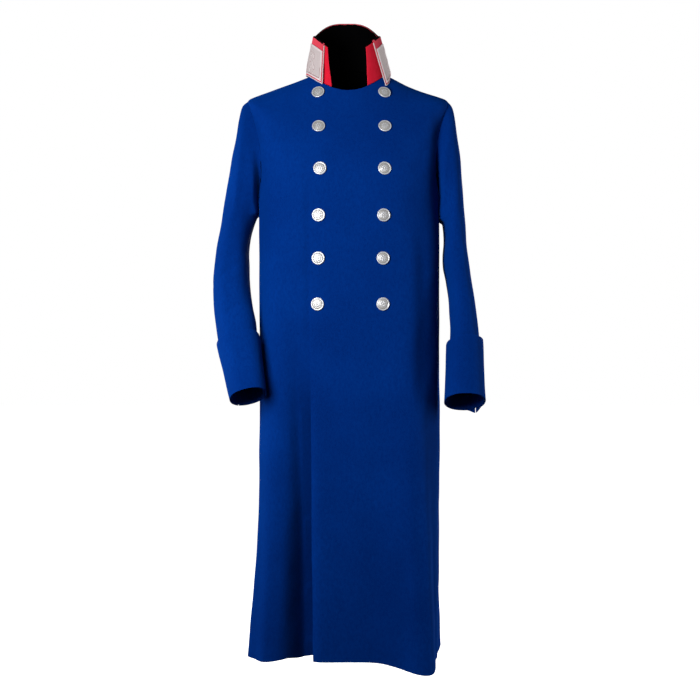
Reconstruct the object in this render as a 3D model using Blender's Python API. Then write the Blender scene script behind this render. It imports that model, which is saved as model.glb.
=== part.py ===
"""A long double-breasted greatcoat of blue wool with a red turn-down collar.

Metres. X runs to the viewer's right, which is the wearer's left. Y runs away from the viewer,
and Z is up. The origin is the middle of the neck, level with the shoulder seams' inner ends,
where the wearer's shoulders carry the coat.
"""
import math
from collections import namedtuple

import bmesh
import bpy
from mathutils import Vector

# Cloth walls and the gaps between pieces
CLOTH = 0.002
SEAM = 0.0003
LINING = 0.001
LAP_GAP = 0.0005
TINY = 0.0005

# The front edges: how far each front runs past the middle, at the neck and at the hem
OVERLAP_NECK_X = -0.0805
OVERLAP_HEM_X = -0.0695
UNDERLAP_NECK_X = 0.0740
UNDERLAP_HEM_X = 0.0660
LAP_FADE_X = 0.050

# Columns and rows of the cloth panels
LAP_COLUMNS = 6
FRONT_COLUMNS = 8
BACK_COLUMNS = 11
SKIRT_ROWS = 13
ARMHOLE_STEP = 20
YOKE_ROWS = 4
SLEEVE_ROWS = 15
CUFF_ROWS = 3

# The body's rings. run is the measure up the side seam, on over the shoulder to the neck.
# side, front and back are the heights of a ring there. half_width, front_depth and back_depth
# are its reach from the middle, and squareness is the exponent of its rounded outline.
Ring = namedtuple(
    "Ring", "run side front back middle_x half_width middle_y front_depth back_depth squareness"
)
HEM = -1.204
ARMPIT = -0.262
SHOULDER = -0.038
NECK = 0.100
BODY_RINGS = [
    Ring(HEM, HEM, HEM, HEM, 0.0045, 0.1945, 0.008, 0.104, 0.172, 2.5),
    Ring(-1.000, -1.000, -1.000, -1.000, 0.0050, 0.1910, 0.004, 0.112, 0.152, 2.4),
    Ring(-0.800, -0.800, -0.800, -0.800, 0.0045, 0.1902, 0.002, 0.120, 0.134, 2.4),
    Ring(-0.600, -0.600, -0.600, -0.600, 0.0034, 0.1890, 0.000, 0.127, 0.116, 2.4),
    Ring(-0.460, -0.460, -0.460, -0.460, 0.0030, 0.1890, 0.000, 0.131, 0.108, 2.5),
    Ring(-0.360, -0.360, -0.360, -0.360, 0.0028, 0.1890, 0.000, 0.132, 0.111, 2.6),
    Ring(ARMPIT, -0.262, -0.262, -0.262, 0.0020, 0.1885, 0.000, 0.131, 0.116, 2.6),
    Ring(-0.200, -0.200, -0.215, -0.205, 0.0014, 0.1920, 0.002, 0.130, 0.118, 2.6),
    Ring(-0.140, -0.142, -0.175, -0.155, 0.0008, 0.1980, 0.003, 0.126, 0.118, 2.5),
    Ring(-0.080, -0.085, -0.142, -0.115, 0.0004, 0.2060, 0.004, 0.117, 0.112, 2.4),
    Ring(-0.050, -0.056, -0.125, -0.095, 0.0002, 0.2100, 0.004, 0.112, 0.108, 2.3),
    Ring(SHOULDER, -0.045, -0.116, -0.084, -0.0010, 0.2090, 0.004, 0.108, 0.105, 2.2),
    Ring(-0.020, -0.038, -0.108, -0.073, -0.0030, 0.1970, 0.004, 0.105, 0.103, 2.1),
    Ring(0.020, -0.024, -0.091, -0.043, -0.0045, 0.1565, 0.003, 0.097, 0.095, 2.0),
    Ring(0.060, -0.009, -0.066, -0.009, -0.0025, 0.1170, 0.002, 0.087, 0.083, 2.0),
    Ring(NECK, 0.006, -0.034, 0.030, 0.0000, 0.0800, 0.000, 0.074, 0.070, 2.0),
]

# Skirt folds. angle and spread are degrees round the body from the middle front, towards the
# viewer's right. reach is how far a fold stands out at the hem, start is where it begins, and
# drop is how much lower it lets the hem hang.
Fold = namedtuple("Fold", "angle spread reach start drop")
SKIRT_FOLDS = [
    Fold(-76.0, 13.0, 0.024, -0.80, 0.000),
    Fold(-55.0, 11.0, 0.020, -0.45, 0.004),
    Fold(-31.0, 9.0, -0.080, -0.42, 0.000),
    Fold(-8.0, 9.0, 0.004, -0.70, 0.000),
    Fold(36.5, 15.0, 0.074, -0.30, 0.018),
    Fold(84.0, 14.0, -0.012, -0.60, 0.000),
    Fold(122.0, 13.0, 0.024, -0.55, 0.000),
    Fold(144.0, 8.0, -0.024, -0.48, 0.000),
    Fold(162.0, 9.0, 0.018, -0.55, 0.000),
    Fold(180.0, 8.0, -0.014, -0.50, 0.000),
    Fold(-160.0, 10.0, 0.024, -0.50, 0.000),
    Fold(-136.0, 10.0, -0.026, -0.42, 0.000),
    Fold(-110.0, 12.0, 0.018, -0.60, 0.000),
]
FOLD_GROWTH = 1.35

# The armhole, as a rounded opening about the side of the body
ARMHOLE_FRONT_ANGLE = 25.0
ARMHOLE_BACK_ANGLE = 34.0
ARMHOLE_CLEARANCE = 0.0005
ARMHOLE_FADE = 0.085

# The sleeves' sections. run is the distance down the sleeve, outer and inner are the places of
# a section's outer and inner edge, y is its middle, depth is half its front-to-back measure,
# and tip is how many degrees it faces forward.
Section = namedtuple("Section", "run outer_x outer_z inner_x inner_z y depth tip")
SLEEVE_END = 0.515
CUFF_TOP = 0.400
RIGHT_ARM = [
    Section(0.000, -0.2090, -0.045, -0.1865, -0.262, 0.0065, 0.0690, 0),
    Section(0.012, -0.2210, -0.056, -0.1880, -0.273, 0.0065, 0.0720, 0),
    Section(0.030, -0.2275, -0.081, -0.1910, -0.288, 0.0065, 0.0750, 0),
    Section(0.065, -0.2352, -0.126, -0.1975, -0.306, 0.0060, 0.0775, 0),
    Section(0.100, -0.2436, -0.168, -0.2030, -0.325, 0.0050, 0.0785, 0),
    Section(0.135, -0.2499, -0.210, -0.2060, -0.345, 0.0030, 0.0785, 0),
    Section(0.170, -0.2583, -0.256, -0.2078, -0.368, 0.0000, 0.0785, 1),
    Section(0.205, -0.2646, -0.300, -0.2068, -0.392, -0.0040, 0.0780, 3),
    Section(0.245, -0.2735, -0.352, -0.2060, -0.418, -0.0100, 0.0770, 6),
    Section(0.285, -0.2790, -0.405, -0.2035, -0.448, -0.0210, 0.0750, 9),
    Section(0.325, -0.2790, -0.455, -0.1980, -0.478, -0.0370, 0.0720, 12),
    Section(0.365, -0.2740, -0.508, -0.1905, -0.508, -0.0560, 0.0680, 15),
    Section(CUFF_TOP, -0.2650, -0.558, -0.1860, -0.538, -0.0740, 0.0640, 17),
    Section(0.460, -0.2505, -0.614, -0.1770, -0.594, -0.0980, 0.0600, 17),
    Section(SLEEVE_END, -0.2370, -0.668, -0.1685, -0.652, -0.1180, 0.0580, 17),
]
LEFT_ARM = [
    Section(0.000, 0.2090, -0.045, 0.1905, -0.262, 0.0065, 0.0690, 0),
    Section(0.012, 0.2185, -0.057, 0.1920, -0.270, 0.0065, 0.0720, 0),
    Section(0.030, 0.2240, -0.082, 0.1945, -0.280, 0.0065, 0.0750, 0),
    Section(0.065, 0.2300, -0.126, 0.1980, -0.297, 0.0060, 0.0780, 0),
    Section(0.100, 0.2352, -0.168, 0.2015, -0.322, 0.0050, 0.0800, 0),
    Section(0.135, 0.2380, -0.210, 0.2025, -0.346, 0.0030, 0.0810, 0),
    Section(0.170, 0.2420, -0.254, 0.2000, -0.372, 0.0000, 0.0815, 1),
    Section(0.205, 0.2450, -0.300, 0.2000, -0.396, -0.0040, 0.0815, 3),
    Section(0.245, 0.2485, -0.352, 0.2060, -0.425, -0.0090, 0.0805, 5),
    Section(0.285, 0.2540, -0.404, 0.2100, -0.455, -0.0170, 0.0780, 7),
    Section(0.325, 0.2605, -0.455, 0.2110, -0.485, -0.0280, 0.0745, 9),
    Section(0.365, 0.2670, -0.505, 0.2120, -0.518, -0.0410, 0.0700, 12),
    Section(CUFF_TOP, 0.2715, -0.552, 0.2105, -0.554, -0.0540, 0.0655, 14),
    Section(0.460, 0.2745, -0.613, 0.2055, -0.612, -0.0740, 0.0625, 17),
    Section(SLEEVE_END, 0.2780, -0.672, 0.1995, -0.671, -0.0920, 0.0610, 18),
]
SLEEVE_SQUARENESS = 2.25
FOREARM_SEAM = 115.0
HINDARM_SEAM = 305.0

# The turned-back cuffs: how far they stand off the sleeve at the top and at the fold
CUFF_STAND_TOP = {"left": 0.0065, "right": 0.0040}
CUFF_STAND_END = {"left": 0.0030, "right": 0.0030}
CUFF_COLUMNS = 20
CUFF_SLIT = 1.6
CUFF_SPILL = 0.0015
CUFF_CORNER_DROP = {"left": 0.008, "right": 0.0}
CUFF_CORNER_SPREAD = 26.0

# The collar: rings at the neck seam, the fold line and the fall's lower edge. side, front and
# back are heights, and a higher crown keeps the back level for longer.
CollarRing = namedtuple(
    "CollarRing", "side front back middle_x half_width front_depth back_depth crown"
)
NECK_RING = CollarRing(0.006, -0.034, 0.030, 0.0000, 0.0800, 0.0740, 0.0700, 2.0)
FOLD_RING = CollarRing(0.0915, 0.0460, 0.1310, -0.0025, 0.0680, 0.0700, 0.0650, 3.0)
FALL_RING = CollarRing(0.0105, -0.0330, 0.0290, 0.0008, 0.0890, 0.0860, 0.0835, 2.0)
COLLAR_SEAM_LIFT = 0.0024
CREST_RADIUS = 0.0036
CREST_START = -36.0
CREST_GAP = 0.0012
CREST_SHARE = 0.12
# Front ends of the stand and of the fall, as angles from the middle front
STAND_END_NECK = {"left": 30.8, "right": 24.7}
STAND_END_FOLD = {"left": 36.5, "right": 36.0}
FALL_END_FOLD = {"left": 52.0, "right": 43.0}
FALL_END_EDGE = {"left": 54.4, "right": 38.6}
# The wearer's left corner of the fall hangs lower and stands a little further out
TIP_DROP = 0.0140
TIP_REACH = 0.0080
TIP_SPREAD = 26.0
COLLAR_COLUMNS = 22
STAND_ROWS = 3
FALL_CREST_ROWS = 3
FALL_ROWS = 4
PIPING_RADIUS = 0.0012
PIPING_GAP = 0.0005
PIPING_SIDES = 6

# The lace patches on the fall's ends: from the front edge back, in degrees, and down the fall
LACE_START = 1.2
LACE_BACK_TOP = 58.0
LACE_BACK_EDGE = 40.0
LACE_TOP = 0.27
LACE_EDGE = 0.965
LACE_WALL = 0.0010
LACE_COLUMNS = 6
LACE_ROWS = 4

# The dark facing inside the back of the neck
FACING_START = 100.0
FACING_DEPTH = 0.069
FACING_TOP = 0.006
FACING_GAP = 0.0014
FACING_COLUMNS = 16
FACING_ROWS = 4

# Buttons: the height of each row, and the place of its two buttons across the front
ButtonRow = namedtuple("ButtonRow", "height right_x left_x")
BUTTON_ROWS = [
    ButtonRow(-0.0390, -0.0604, 0.0737),
    ButtonRow(-0.1135, -0.0595, 0.0749),
    ButtonRow(-0.2000, -0.0562, 0.0732),
    ButtonRow(-0.2945, -0.0588, 0.0714),
    ButtonRow(-0.3815, -0.0594, 0.0702),
    ButtonRow(-0.4740, -0.0608, 0.0702),
]
BUTTON_RADIUS = 0.01335
BUTTON_SHANK = 0.0040
BUTTON_SIDES = 20
# A button's turned outline from the shank to the middle of its face: radius, height
BUTTON_PROFILE = [
    (BUTTON_SHANK, 0.0000),
    (BUTTON_SHANK, 0.0018),
    (BUTTON_RADIUS * 0.94, 0.0022),
    (BUTTON_RADIUS, 0.0032),
    (BUTTON_RADIUS * 0.92, 0.0046),
    (BUTTON_RADIUS * 0.78, 0.0044),
    (BUTTON_RADIUS * 0.42, 0.0056),
]
BUTTON_FACE_HEIGHT = 0.0060

# Colours and finish of each material: colour, roughness, metallic
Finish = namedtuple("Finish", "colour roughness metallic")
WOOL_BLUE = Finish((0.004, 0.022, 0.195), 0.85, 0.0)
WOOL_RED = Finish((0.560, 0.030, 0.060), 0.75, 0.0)
LINING_BLACK = Finish((0.004, 0.004, 0.005), 0.55, 0.0)
LACE_SILVER = Finish((0.480, 0.430, 0.420), 0.45, 0.6)
PIPING_WHITE = Finish((0.800, 0.760, 0.760), 0.70, 0.0)
BUTTON_SILVER = Finish((0.560, 0.560, 0.560), 0.32, 1.0)


def clear_scene():
    """Start from an empty scene."""
    for old in list(bpy.data.objects):
        bpy.data.objects.remove(old, do_unlink=True)


def material(name, finish):
    """A plain Principled material with the piece's colour."""
    made = bpy.data.materials.new(name)
    made.use_nodes = True
    shader = made.node_tree.nodes["Principled BSDF"]
    shader.inputs["Base Color"].default_value = (*finish.colour, 1.0)
    shader.inputs["Roughness"].default_value = finish.roughness
    shader.inputs["Metallic"].default_value = finish.metallic
    return made


def read_rows(rows, run, column):
    """One column of a table at any run, on a smooth curve through its rows."""
    last = len(rows) - 2
    spot = 0
    while spot < last and run > rows[spot + 1].run:
        spot += 1
    low, high = rows[spot], rows[spot + 1]
    start, end = getattr(low, column), getattr(high, column)
    span = high.run - low.run

    def slope(index):
        before = rows[max(index - 1, 0)]
        after = rows[min(index + 1, len(rows) - 1)]
        return (getattr(after, column) - getattr(before, column)) / (after.run - before.run)

    share = min(max((run - low.run) / span, 0.0), 1.0)
    into, out = slope(spot) * span, slope(spot + 1) * span
    return (
        start * (2 * share ** 3 - 3 * share ** 2 + 1)
        + into * (share ** 3 - 2 * share ** 2 + share)
        + end * (3 * share ** 2 - 2 * share ** 3)
        + out * (share ** 3 - share ** 2)
    )


def smooth(value):
    """Ease from 0 to 1."""
    value = min(max(value, 0.0), 1.0)
    return value * value * (3 - 2 * value)


def mix(start, end, share):
    return start + (end - start) * share


def rounded(value, squareness):
    """Sine or cosine of a ring, drawn out towards a square by its exponent."""
    return math.copysign(abs(value) ** (2.0 / squareness), value)


def turn_between(first, second):
    """The turn from one angle to another, between -180 and 180 degrees."""
    return (first - second + 180.0) % 360.0 - 180.0


def body_point(angle, run):
    """The coat's outer face at an angle from the middle front and a run up the side."""
    def at(column):
        return read_rows(BODY_RINGS, run, column)

    sine = math.sin(math.radians(angle))
    cosine = math.cos(math.radians(angle))
    square = at("squareness")
    depth = at("front_depth") if cosine > 0 else at("back_depth")
    x = at("middle_x") + at("half_width") * rounded(sine, square)
    y = at("middle_y") - depth * rounded(cosine, square)
    end = at("front") if cosine > 0 else at("back")
    z = mix(end, at("side"), sine * sine)
    across = rounded(sine, square / (square - 1)) / at("half_width")
    ahead = rounded(cosine, square / (square - 1)) / depth
    length = math.hypot(across, ahead)
    for fold in SKIRT_FOLDS:
        if run >= fold.start:
            continue
        growth = ((fold.start - run) / (fold.start - HEM)) ** FOLD_GROWTH
        wave = math.exp(-(turn_between(angle, fold.angle) / fold.spread) ** 2)
        x += fold.reach * growth * wave * across / length
        y -= fold.reach * growth * wave * ahead / length
        z -= fold.drop * growth * wave
    return Vector((x, y, z))


def surface_normal(surface, first, second, step_first, step_second):
    """The outward side of a surface, from its own points close by."""
    along = surface(first + step_first, second) - surface(first - step_first, second)
    up = surface(first, second + step_second) - surface(first, second - step_second)
    return along.cross(up).normalized()


def body_normal(angle, run):
    run = min(run, NECK - TINY)
    return surface_normal(body_point, angle, run, 0.4, TINY)


def angle_at_x(wanted_x, run):
    """The angle on the front where the body reaches a wanted place across."""
    low, high = -88.0, 88.0
    for _ in range(30):
        middle = (low + high) / 2
        if body_point(middle, run).x < wanted_x:
            low = middle
        else:
            high = middle
    return (low + high) / 2


def armhole_reach(run):
    """How wide the armhole is at a run, from 0 at its ends to 1 in its middle."""
    middle = (ARMPIT + SHOULDER) / 2
    half = (SHOULDER - ARMPIT) / 2
    return math.sqrt(max(0.0, 1.0 - ((run - middle) / half) ** 2))


def armhole_point(side, turn):
    """The armhole's edge. turn is 0 at the shoulder, 90 at the front and 180 at the armpit."""
    middle = (ARMPIT + SHOULDER) / 2
    half = (SHOULDER - ARMPIT) / 2
    run = middle + half * math.cos(math.radians(turn))
    lean = math.sin(math.radians(turn))
    spread = ARMHOLE_FRONT_ANGLE if lean > 0 else ARMHOLE_BACK_ANGLE
    angle = side * (90.0 - spread * lean)
    return body_point(angle, run), body_normal(angle, run)


def body_runs():
    """The rows of every body panel, which meet the sleeve's columns at the armhole."""
    skirt = [mix(HEM, ARMPIT, row / SKIRT_ROWS) for row in range(SKIRT_ROWS)]
    middle = (ARMPIT + SHOULDER) / 2
    half = (SHOULDER - ARMPIT) / 2
    arm = [middle - half * math.cos(math.radians(turn)) for turn in range(0, 181, ARMHOLE_STEP)]
    yoke = [mix(SHOULDER, NECK, row / YOKE_ROWS) for row in range(1, YOKE_ROWS + 1)]
    return skirt + arm + yoke


def lap_angles(run):
    """The angles of the two front edges, which are parallel to the middle front."""
    share = (run - HEM) / (NECK - HEM)
    neck_pull = smooth((run - SHOULDER) / (NECK - SHOULDER))
    over = mix(mix(OVERLAP_HEM_X, OVERLAP_NECK_X, share), -0.0770, neck_pull)
    under = mix(mix(UNDERLAP_HEM_X, UNDERLAP_NECK_X, share), 0.0700, neck_pull)
    return angle_at_x(over, run), angle_at_x(under, run)


def spread_evenly(start, end, count):
    return [mix(start, end, step / count) for step in range(count + 1)]


def front_angles(run, side):
    """The columns of one front. Both fronts share the columns where they lap."""
    over, under = lap_angles(run)
    outer = 90.0 - ARMHOLE_FRONT_ANGLE * armhole_reach(run)
    lap = spread_evenly(over, under, LAP_COLUMNS)
    if side > 0:
        return lap + spread_evenly(under, outer, FRONT_COLUMNS)[1:]
    return spread_evenly(-outer, over, FRONT_COLUMNS)[:-1] + lap


def back_angles(run, side):
    """The columns of one back panel, from the side seam to the centre-back seam."""
    outer = 90.0 + ARMHOLE_BACK_ANGLE * armhole_reach(run)
    if side > 0:
        return spread_evenly(outer, 180.0, BACK_COLUMNS)
    return spread_evenly(-180.0, -outer, BACK_COLUMNS)


def lap_lift(point):
    """How far the overlapping front stands off the one beneath it."""
    fade = 1.0 - smooth((point.x - UNDERLAP_NECK_X - 0.004) / LAP_FADE_X)
    return (CLOTH + LAP_GAP) * fade


def nudge_ends(points, first, last):
    """Draw a row's end points in along the row, to leave the gap of a seam."""
    moved = [point.copy() for point in points]
    if first:
        moved[0] += (points[1] - points[0]).normalized() * first
    if last:
        moved[-1] += (points[-2] - points[-1]).normalized() * last
    return moved


def add_mesh(name, vertices, faces, finish):
    """One closed solid, shaded smooth but for its sharp edges."""
    mesh = bpy.data.meshes.new(name)
    mesh.from_pydata([tuple(point) for point in vertices], [], faces)
    mesh.update()
    work = bmesh.new()
    work.from_mesh(mesh)
    bmesh.ops.triangulate(work, faces=list(work.faces))
    bmesh.ops.recalc_face_normals(work, faces=list(work.faces))
    work.to_mesh(mesh)
    work.free()
    mesh.shade_smooth()
    mesh.set_sharp_from_angle(angle=math.radians(50))
    mesh.materials.append(material(name, finish))
    made = bpy.data.objects.new(name, mesh)
    bpy.context.scene.collection.objects.link(made)
    return made


def cloth_wall(name, outer, inner, finish):
    """A cloth wall between two grids of points of the same size."""
    rows, columns = len(outer), len(outer[0])
    vertices = [point for row in outer for point in row]
    vertices += [point for row in inner for point in row]
    shift = rows * columns

    def spot(row, column):
        return row * columns + column

    faces = []
    for row in range(rows - 1):
        for column in range(columns - 1):
            quad = [
                spot(row, column),
                spot(row, column + 1),
                spot(row + 1, column + 1),
                spot(row + 1, column),
            ]
            faces.append(quad)
            faces.append([shift + corner for corner in reversed(quad)])
    for column in range(columns - 1):
        for row, turned in ((0, False), (rows - 1, True)):
            edge = [spot(row, column), spot(row, column + 1)]
            rim = [edge[1], edge[0], shift + edge[0], shift + edge[1]]
            faces.append(list(reversed(rim)) if turned else rim)
    for row in range(rows - 1):
        for column, turned in ((0, True), (columns - 1, False)):
            edge = [spot(row, column), spot(row + 1, column)]
            rim = [edge[1], edge[0], shift + edge[0], shift + edge[1]]
            faces.append(list(reversed(rim)) if turned else rim)
    return add_mesh(name, vertices, faces, finish)


def wall_from_surface(name, surface, normal, grid, wall, finish, lift=None, ends=(0.0, 0.0)):
    """A cloth piece whose outer face follows a surface over a grid of its measures."""
    outer, inner = [], []
    for measures in grid:
        faces_out = [normal(*measure) for measure in measures]
        points = []
        for measure, out in zip(measures, faces_out):
            point = surface(*measure)
            points.append(point + out * lift(point) if lift else point)
        behind = [point - out * wall for point, out in zip(points, faces_out)]
        outer.append(nudge_ends(points, *ends))
        inner.append(nudge_ends(behind, *ends))
    return cloth_wall(name, outer, inner, finish)


def build_body():
    """The two fronts, which lap at the middle, and the two backs."""
    half_seam = SEAM / 2
    runs = body_runs()
    wall_from_surface(
        "front_left",
        body_point,
        body_normal,
        [[(angle, run) for angle in front_angles(run, 1)] for run in runs],
        CLOTH,
        WOOL_BLUE,
        lift=lap_lift,
        ends=(0.0, half_seam),
    )
    wall_from_surface(
        "front_right",
        body_point,
        body_normal,
        [[(angle, run) for angle in front_angles(run, -1)] for run in runs],
        CLOTH,
        WOOL_BLUE,
        ends=(half_seam, 0.0),
    )
    for name, side in (("back_left", 1), ("back_right", -1)):
        wall_from_surface(
            name,
            body_point,
            body_normal,
            [[(angle, run) for angle in back_angles(run, side)] for run in runs],
            CLOTH,
            WOOL_BLUE,
            ends=(half_seam, half_seam),
        )


def arm_rows(arm):
    return LEFT_ARM if arm == "left" else RIGHT_ARM


def plain_sleeve_point(arm, turn, run):
    """A sleeve's section as a rounded outline, before it is fitted to the armhole."""
    rows = arm_rows(arm)

    def at(column):
        return read_rows(rows, run, column)

    outer = Vector((at("outer_x"), at("y"), at("outer_z")))
    inner = Vector((at("inner_x"), at("y"), at("inner_z")))
    tip = math.radians(at("tip"))
    forward = Vector((0.0, -math.cos(tip), math.sin(tip))) * at("depth")
    across = rounded(math.cos(math.radians(turn)), SLEEVE_SQUARENESS)
    ahead = rounded(math.sin(math.radians(turn)), SLEEVE_SQUARENESS)
    return (outer + inner) / 2 + (outer - inner) / 2 * across + forward * ahead


def sleeve_point(arm, turn, run):
    """A sleeve's outer face. turn is 0 outside, 90 in front and 180 beside the body."""
    side = 1 if arm == "left" else -1
    point = plain_sleeve_point(arm, turn, run)
    if run >= ARMHOLE_FADE:
        return point
    edge, out = armhole_point(side, turn)
    hole_middle = (plain_sleeve_point(arm, 0, 0) + plain_sleeve_point(arm, 180, 0)) / 2
    inward = (hole_middle - edge).normalized()
    seat = edge + (out + inward) * ARMHOLE_CLEARANCE
    share = (1.0 - max(run, 0.0) / ARMHOLE_FADE) ** 2
    return point + (seat - plain_sleeve_point(arm, turn, 0.0)) * share


def sleeve_surface(arm):
    """The surface and outward side of one sleeve."""
    side = 1 if arm == "left" else -1

    def surface(turn, run):
        return sleeve_point(arm, turn, run)

    def normal(turn, run):
        run = min(max(run, TINY), SLEEVE_END - TINY)
        return surface_normal(surface, turn, run, 1.0, TINY) * side

    return surface, normal


def sleeve_runs():
    """Closer rows at the sleeve head, where the cloth turns over the shoulder."""
    head = [0.0, 0.010, 0.024, 0.045, 0.072]
    rest = spread_evenly(0.105, SLEEVE_END, SLEEVE_ROWS - len(head))
    return head + rest


def build_sleeves():
    """Each sleeve has an upper and an under piece, with a forearm and a hind-arm seam."""
    for arm in ("left", "right"):
        surface, normal = sleeve_surface(arm)
        upper = [HINDARM_SEAM - 360.0] + list(range(-40, 101, ARMHOLE_STEP)) + [FOREARM_SEAM]
        under = [FOREARM_SEAM] + list(range(120, 301, ARMHOLE_STEP)) + [HINDARM_SEAM]
        for part, turns in (("upper", upper), ("under", under)):
            wall_from_surface(
                f"sleeve_{part}_{arm}",
                surface,
                normal,
                [[(turn, run) for turn in turns] for run in sleeve_runs()],
                CLOTH,
                WOOL_BLUE,
                ends=(SEAM, SEAM),
            )


def build_cuffs():
    """Turned-back cuffs round the sleeve ends, open at the hind-arm seam."""
    for arm in ("left", "right"):
        surface, normal = sleeve_surface(arm)
        start = HINDARM_SEAM - 360.0 + CUFF_SLIT
        end = HINDARM_SEAM - CUFF_SLIT
        outer, inner = [], []
        for row in range(CUFF_ROWS + 1):
            share = row / CUFF_ROWS
            run = mix(CUFF_TOP, SLEEVE_END, share)
            stand = mix(CUFF_STAND_TOP[arm], CUFF_STAND_END[arm], share)
            outside, inside = [], []
            for turn in spread_evenly(start, end, CUFF_COLUMNS):
                out = normal(turn, run)
                down = (surface(turn, run) - surface(turn, run - 0.02)).normalized()
                near_slit = abs(turn_between(turn, HINDARM_SEAM)) / CUFF_CORNER_SPREAD
                corner = CUFF_CORNER_DROP[arm] * smooth(1.0 - near_slit)
                spill = down * (CUFF_SPILL + corner) * smooth(share)
                point = surface(turn, run) + out * stand + spill
                outside.append(point)
                inside.append(point - out * CLOTH)
            outer.append(outside)
            inner.append(inside)
        cloth_wall(f"cuff_{arm}", outer, inner, WOOL_BLUE)


def collar_ring_point(ring, angle, grow=0.0):
    """A point on one of the collar's rings, moved out from the neck by grow."""
    sine = math.sin(math.radians(angle))
    cosine = math.cos(math.radians(angle))
    depth = ring.front_depth if cosine > 0 else ring.back_depth
    end = ring.front if cosine > 0 else ring.back
    crown = 2.0 if cosine > 0 else ring.crown
    x = ring.middle_x + (ring.half_width + grow) * sine
    y = -(depth + grow) * cosine
    return Vector((x, y, mix(end, ring.side, abs(sine) ** crown)))


def stand_point(angle, share, depth=0.0):
    """The stand's outer face from the neck seam (0) to the fold line (1)."""
    foot = collar_ring_point(NECK_RING, angle, -depth) + Vector((0, 0, COLLAR_SEAM_LIFT))
    top = collar_ring_point(FOLD_RING, angle, -depth) - Vector((0, 0, CLOTH + CREST_GAP))
    return foot.lerp(top, share)


def fall_point(angle, share, depth=0.0):
    """The fall's outer face, over the crest of the fold and down to the lower edge."""
    radius = CREST_RADIUS - depth
    out = Vector((math.sin(math.radians(angle)), -math.cos(math.radians(angle)), 0.0))
    centre = collar_ring_point(FOLD_RING, angle) - Vector((0, 0, CREST_RADIUS))
    if share <= CREST_SHARE:
        lean = math.radians(mix(CREST_START, 90.0, share / CREST_SHARE))
        return centre + out * radius * math.sin(lean) + Vector((0, 0, radius * math.cos(lean)))
    start = centre + out * radius
    tip = smooth(1.0 - (angle - FALL_END_EDGE["left"]) / TIP_SPREAD)
    end = collar_ring_point(FALL_RING, angle, TIP_REACH * tip - depth)
    end.z -= TIP_DROP * tip
    down = (share - CREST_SHARE) / (1.0 - CREST_SHARE)
    return start.lerp(end, down)


def end_angles(at_neck, at_top, share):
    """The collar's two front ends at a share of its height, going round by the back."""
    left = mix(at_neck["left"], at_top["left"], share)
    right = 360.0 - mix(at_neck["right"], at_top["right"], share)
    return left, right


def fall_shares():
    crest = spread_evenly(0.0, CREST_SHARE, FALL_CREST_ROWS)
    return crest + spread_evenly(CREST_SHARE, 1.0, FALL_ROWS)[1:]


def build_collar():
    """The stand, the fall folded over it, and the dark lining inside the stand."""
    for name, gap, wall, finish, trim in (
        ("collar_stand", 0.0, CLOTH, WOOL_RED, 0.0),
        ("collar_lining", CLOTH + SEAM, LINING, LINING_BLACK, 1.2),
    ):
        outer, inner = [], []
        for share in spread_evenly(0.0, 1.0, STAND_ROWS):
            left, right = end_angles(STAND_END_NECK, STAND_END_FOLD, share)
            angles = spread_evenly(left + trim, right - trim, COLLAR_COLUMNS)
            outer.append([stand_point(angle, share, gap) for angle in angles])
            inner.append([stand_point(angle, share, gap + wall) for angle in angles])
        cloth_wall(name, outer, inner, finish)
    outer, inner = [], []
    for share in fall_shares():
        left, right = end_angles(FALL_END_FOLD, FALL_END_EDGE, share)
        angles = spread_evenly(left, right, COLLAR_COLUMNS)
        outer.append([fall_point(angle, share) for angle in angles])
        inner.append([fall_point(angle, share, CLOTH) for angle in angles])
    cloth_wall("collar_fall", outer, inner, WOOL_RED)


def fall_normal(angle, share):
    """The outward side of the fall below its crest."""
    share = min(max(share, CREST_SHARE + 0.02), 0.98)
    return -surface_normal(fall_point, angle, share, 0.5, 0.01)


def build_lace():
    """A raised patch of silver lace on each end of the fall, made from the fall's points."""
    for arm in ("left", "right"):
        outer, inner = [], []
        for row in range(LACE_ROWS + 1):
            down = row / LACE_ROWS
            share = mix(LACE_TOP, LACE_EDGE, down)
            front = mix(FALL_END_FOLD[arm], FALL_END_EDGE[arm], share) + LACE_START
            reach = mix(LACE_BACK_TOP, LACE_BACK_EDGE, down)
            turns = spread_evenly(front, front + reach, LACE_COLUMNS)
            angles = turns if arm == "left" else [360.0 - turn for turn in reversed(turns)]
            outside, inside = [], []
            for angle in angles:
                out = fall_normal(angle, share)
                point = fall_point(angle, share) + out * TINY
                outside.append(point + out * LACE_WALL)
                inside.append(point)
            outer.append(outside)
            inner.append(inside)
        cloth_wall(f"collar_lace_{arm}", outer, inner, LACE_SILVER)


def piping_path():
    """The middle line of the piping: down one front end, round the lower edge, up the other."""
    middle = CLOTH / 2
    off = PIPING_GAP + PIPING_RADIUS

    def edge_point(angle, share, step, down):
        """A point off the fall's edge: past its front end by step, and below it if down."""
        edge = fall_point(angle, share, middle)
        ahead = (edge - fall_point(angle + step, share, middle)).normalized() if step else Vector()
        below = (edge - fall_point(angle, share - 0.05, middle)).normalized() if down else Vector()
        return edge + (ahead + below) * off

    fronts = {"left": [], "right": []}
    for share in fall_shares()[FALL_CREST_ROWS:]:
        left, right = end_angles(FALL_END_FOLD, FALL_END_EDGE, share)
        at_corner = share == 1.0
        fronts["left"].append(edge_point(left, share, 1.0, at_corner))
        fronts["right"].append(edge_point(right, share, -1.0, at_corner))
    left, right = end_angles(FALL_END_FOLD, FALL_END_EDGE, 1.0)
    angles = spread_evenly(left, right, COLLAR_COLUMNS)[1:-1]
    lower = [edge_point(angle, 1.0, 0.0, True) for angle in angles]
    return fronts["left"] + lower + list(reversed(fronts["right"]))


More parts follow.
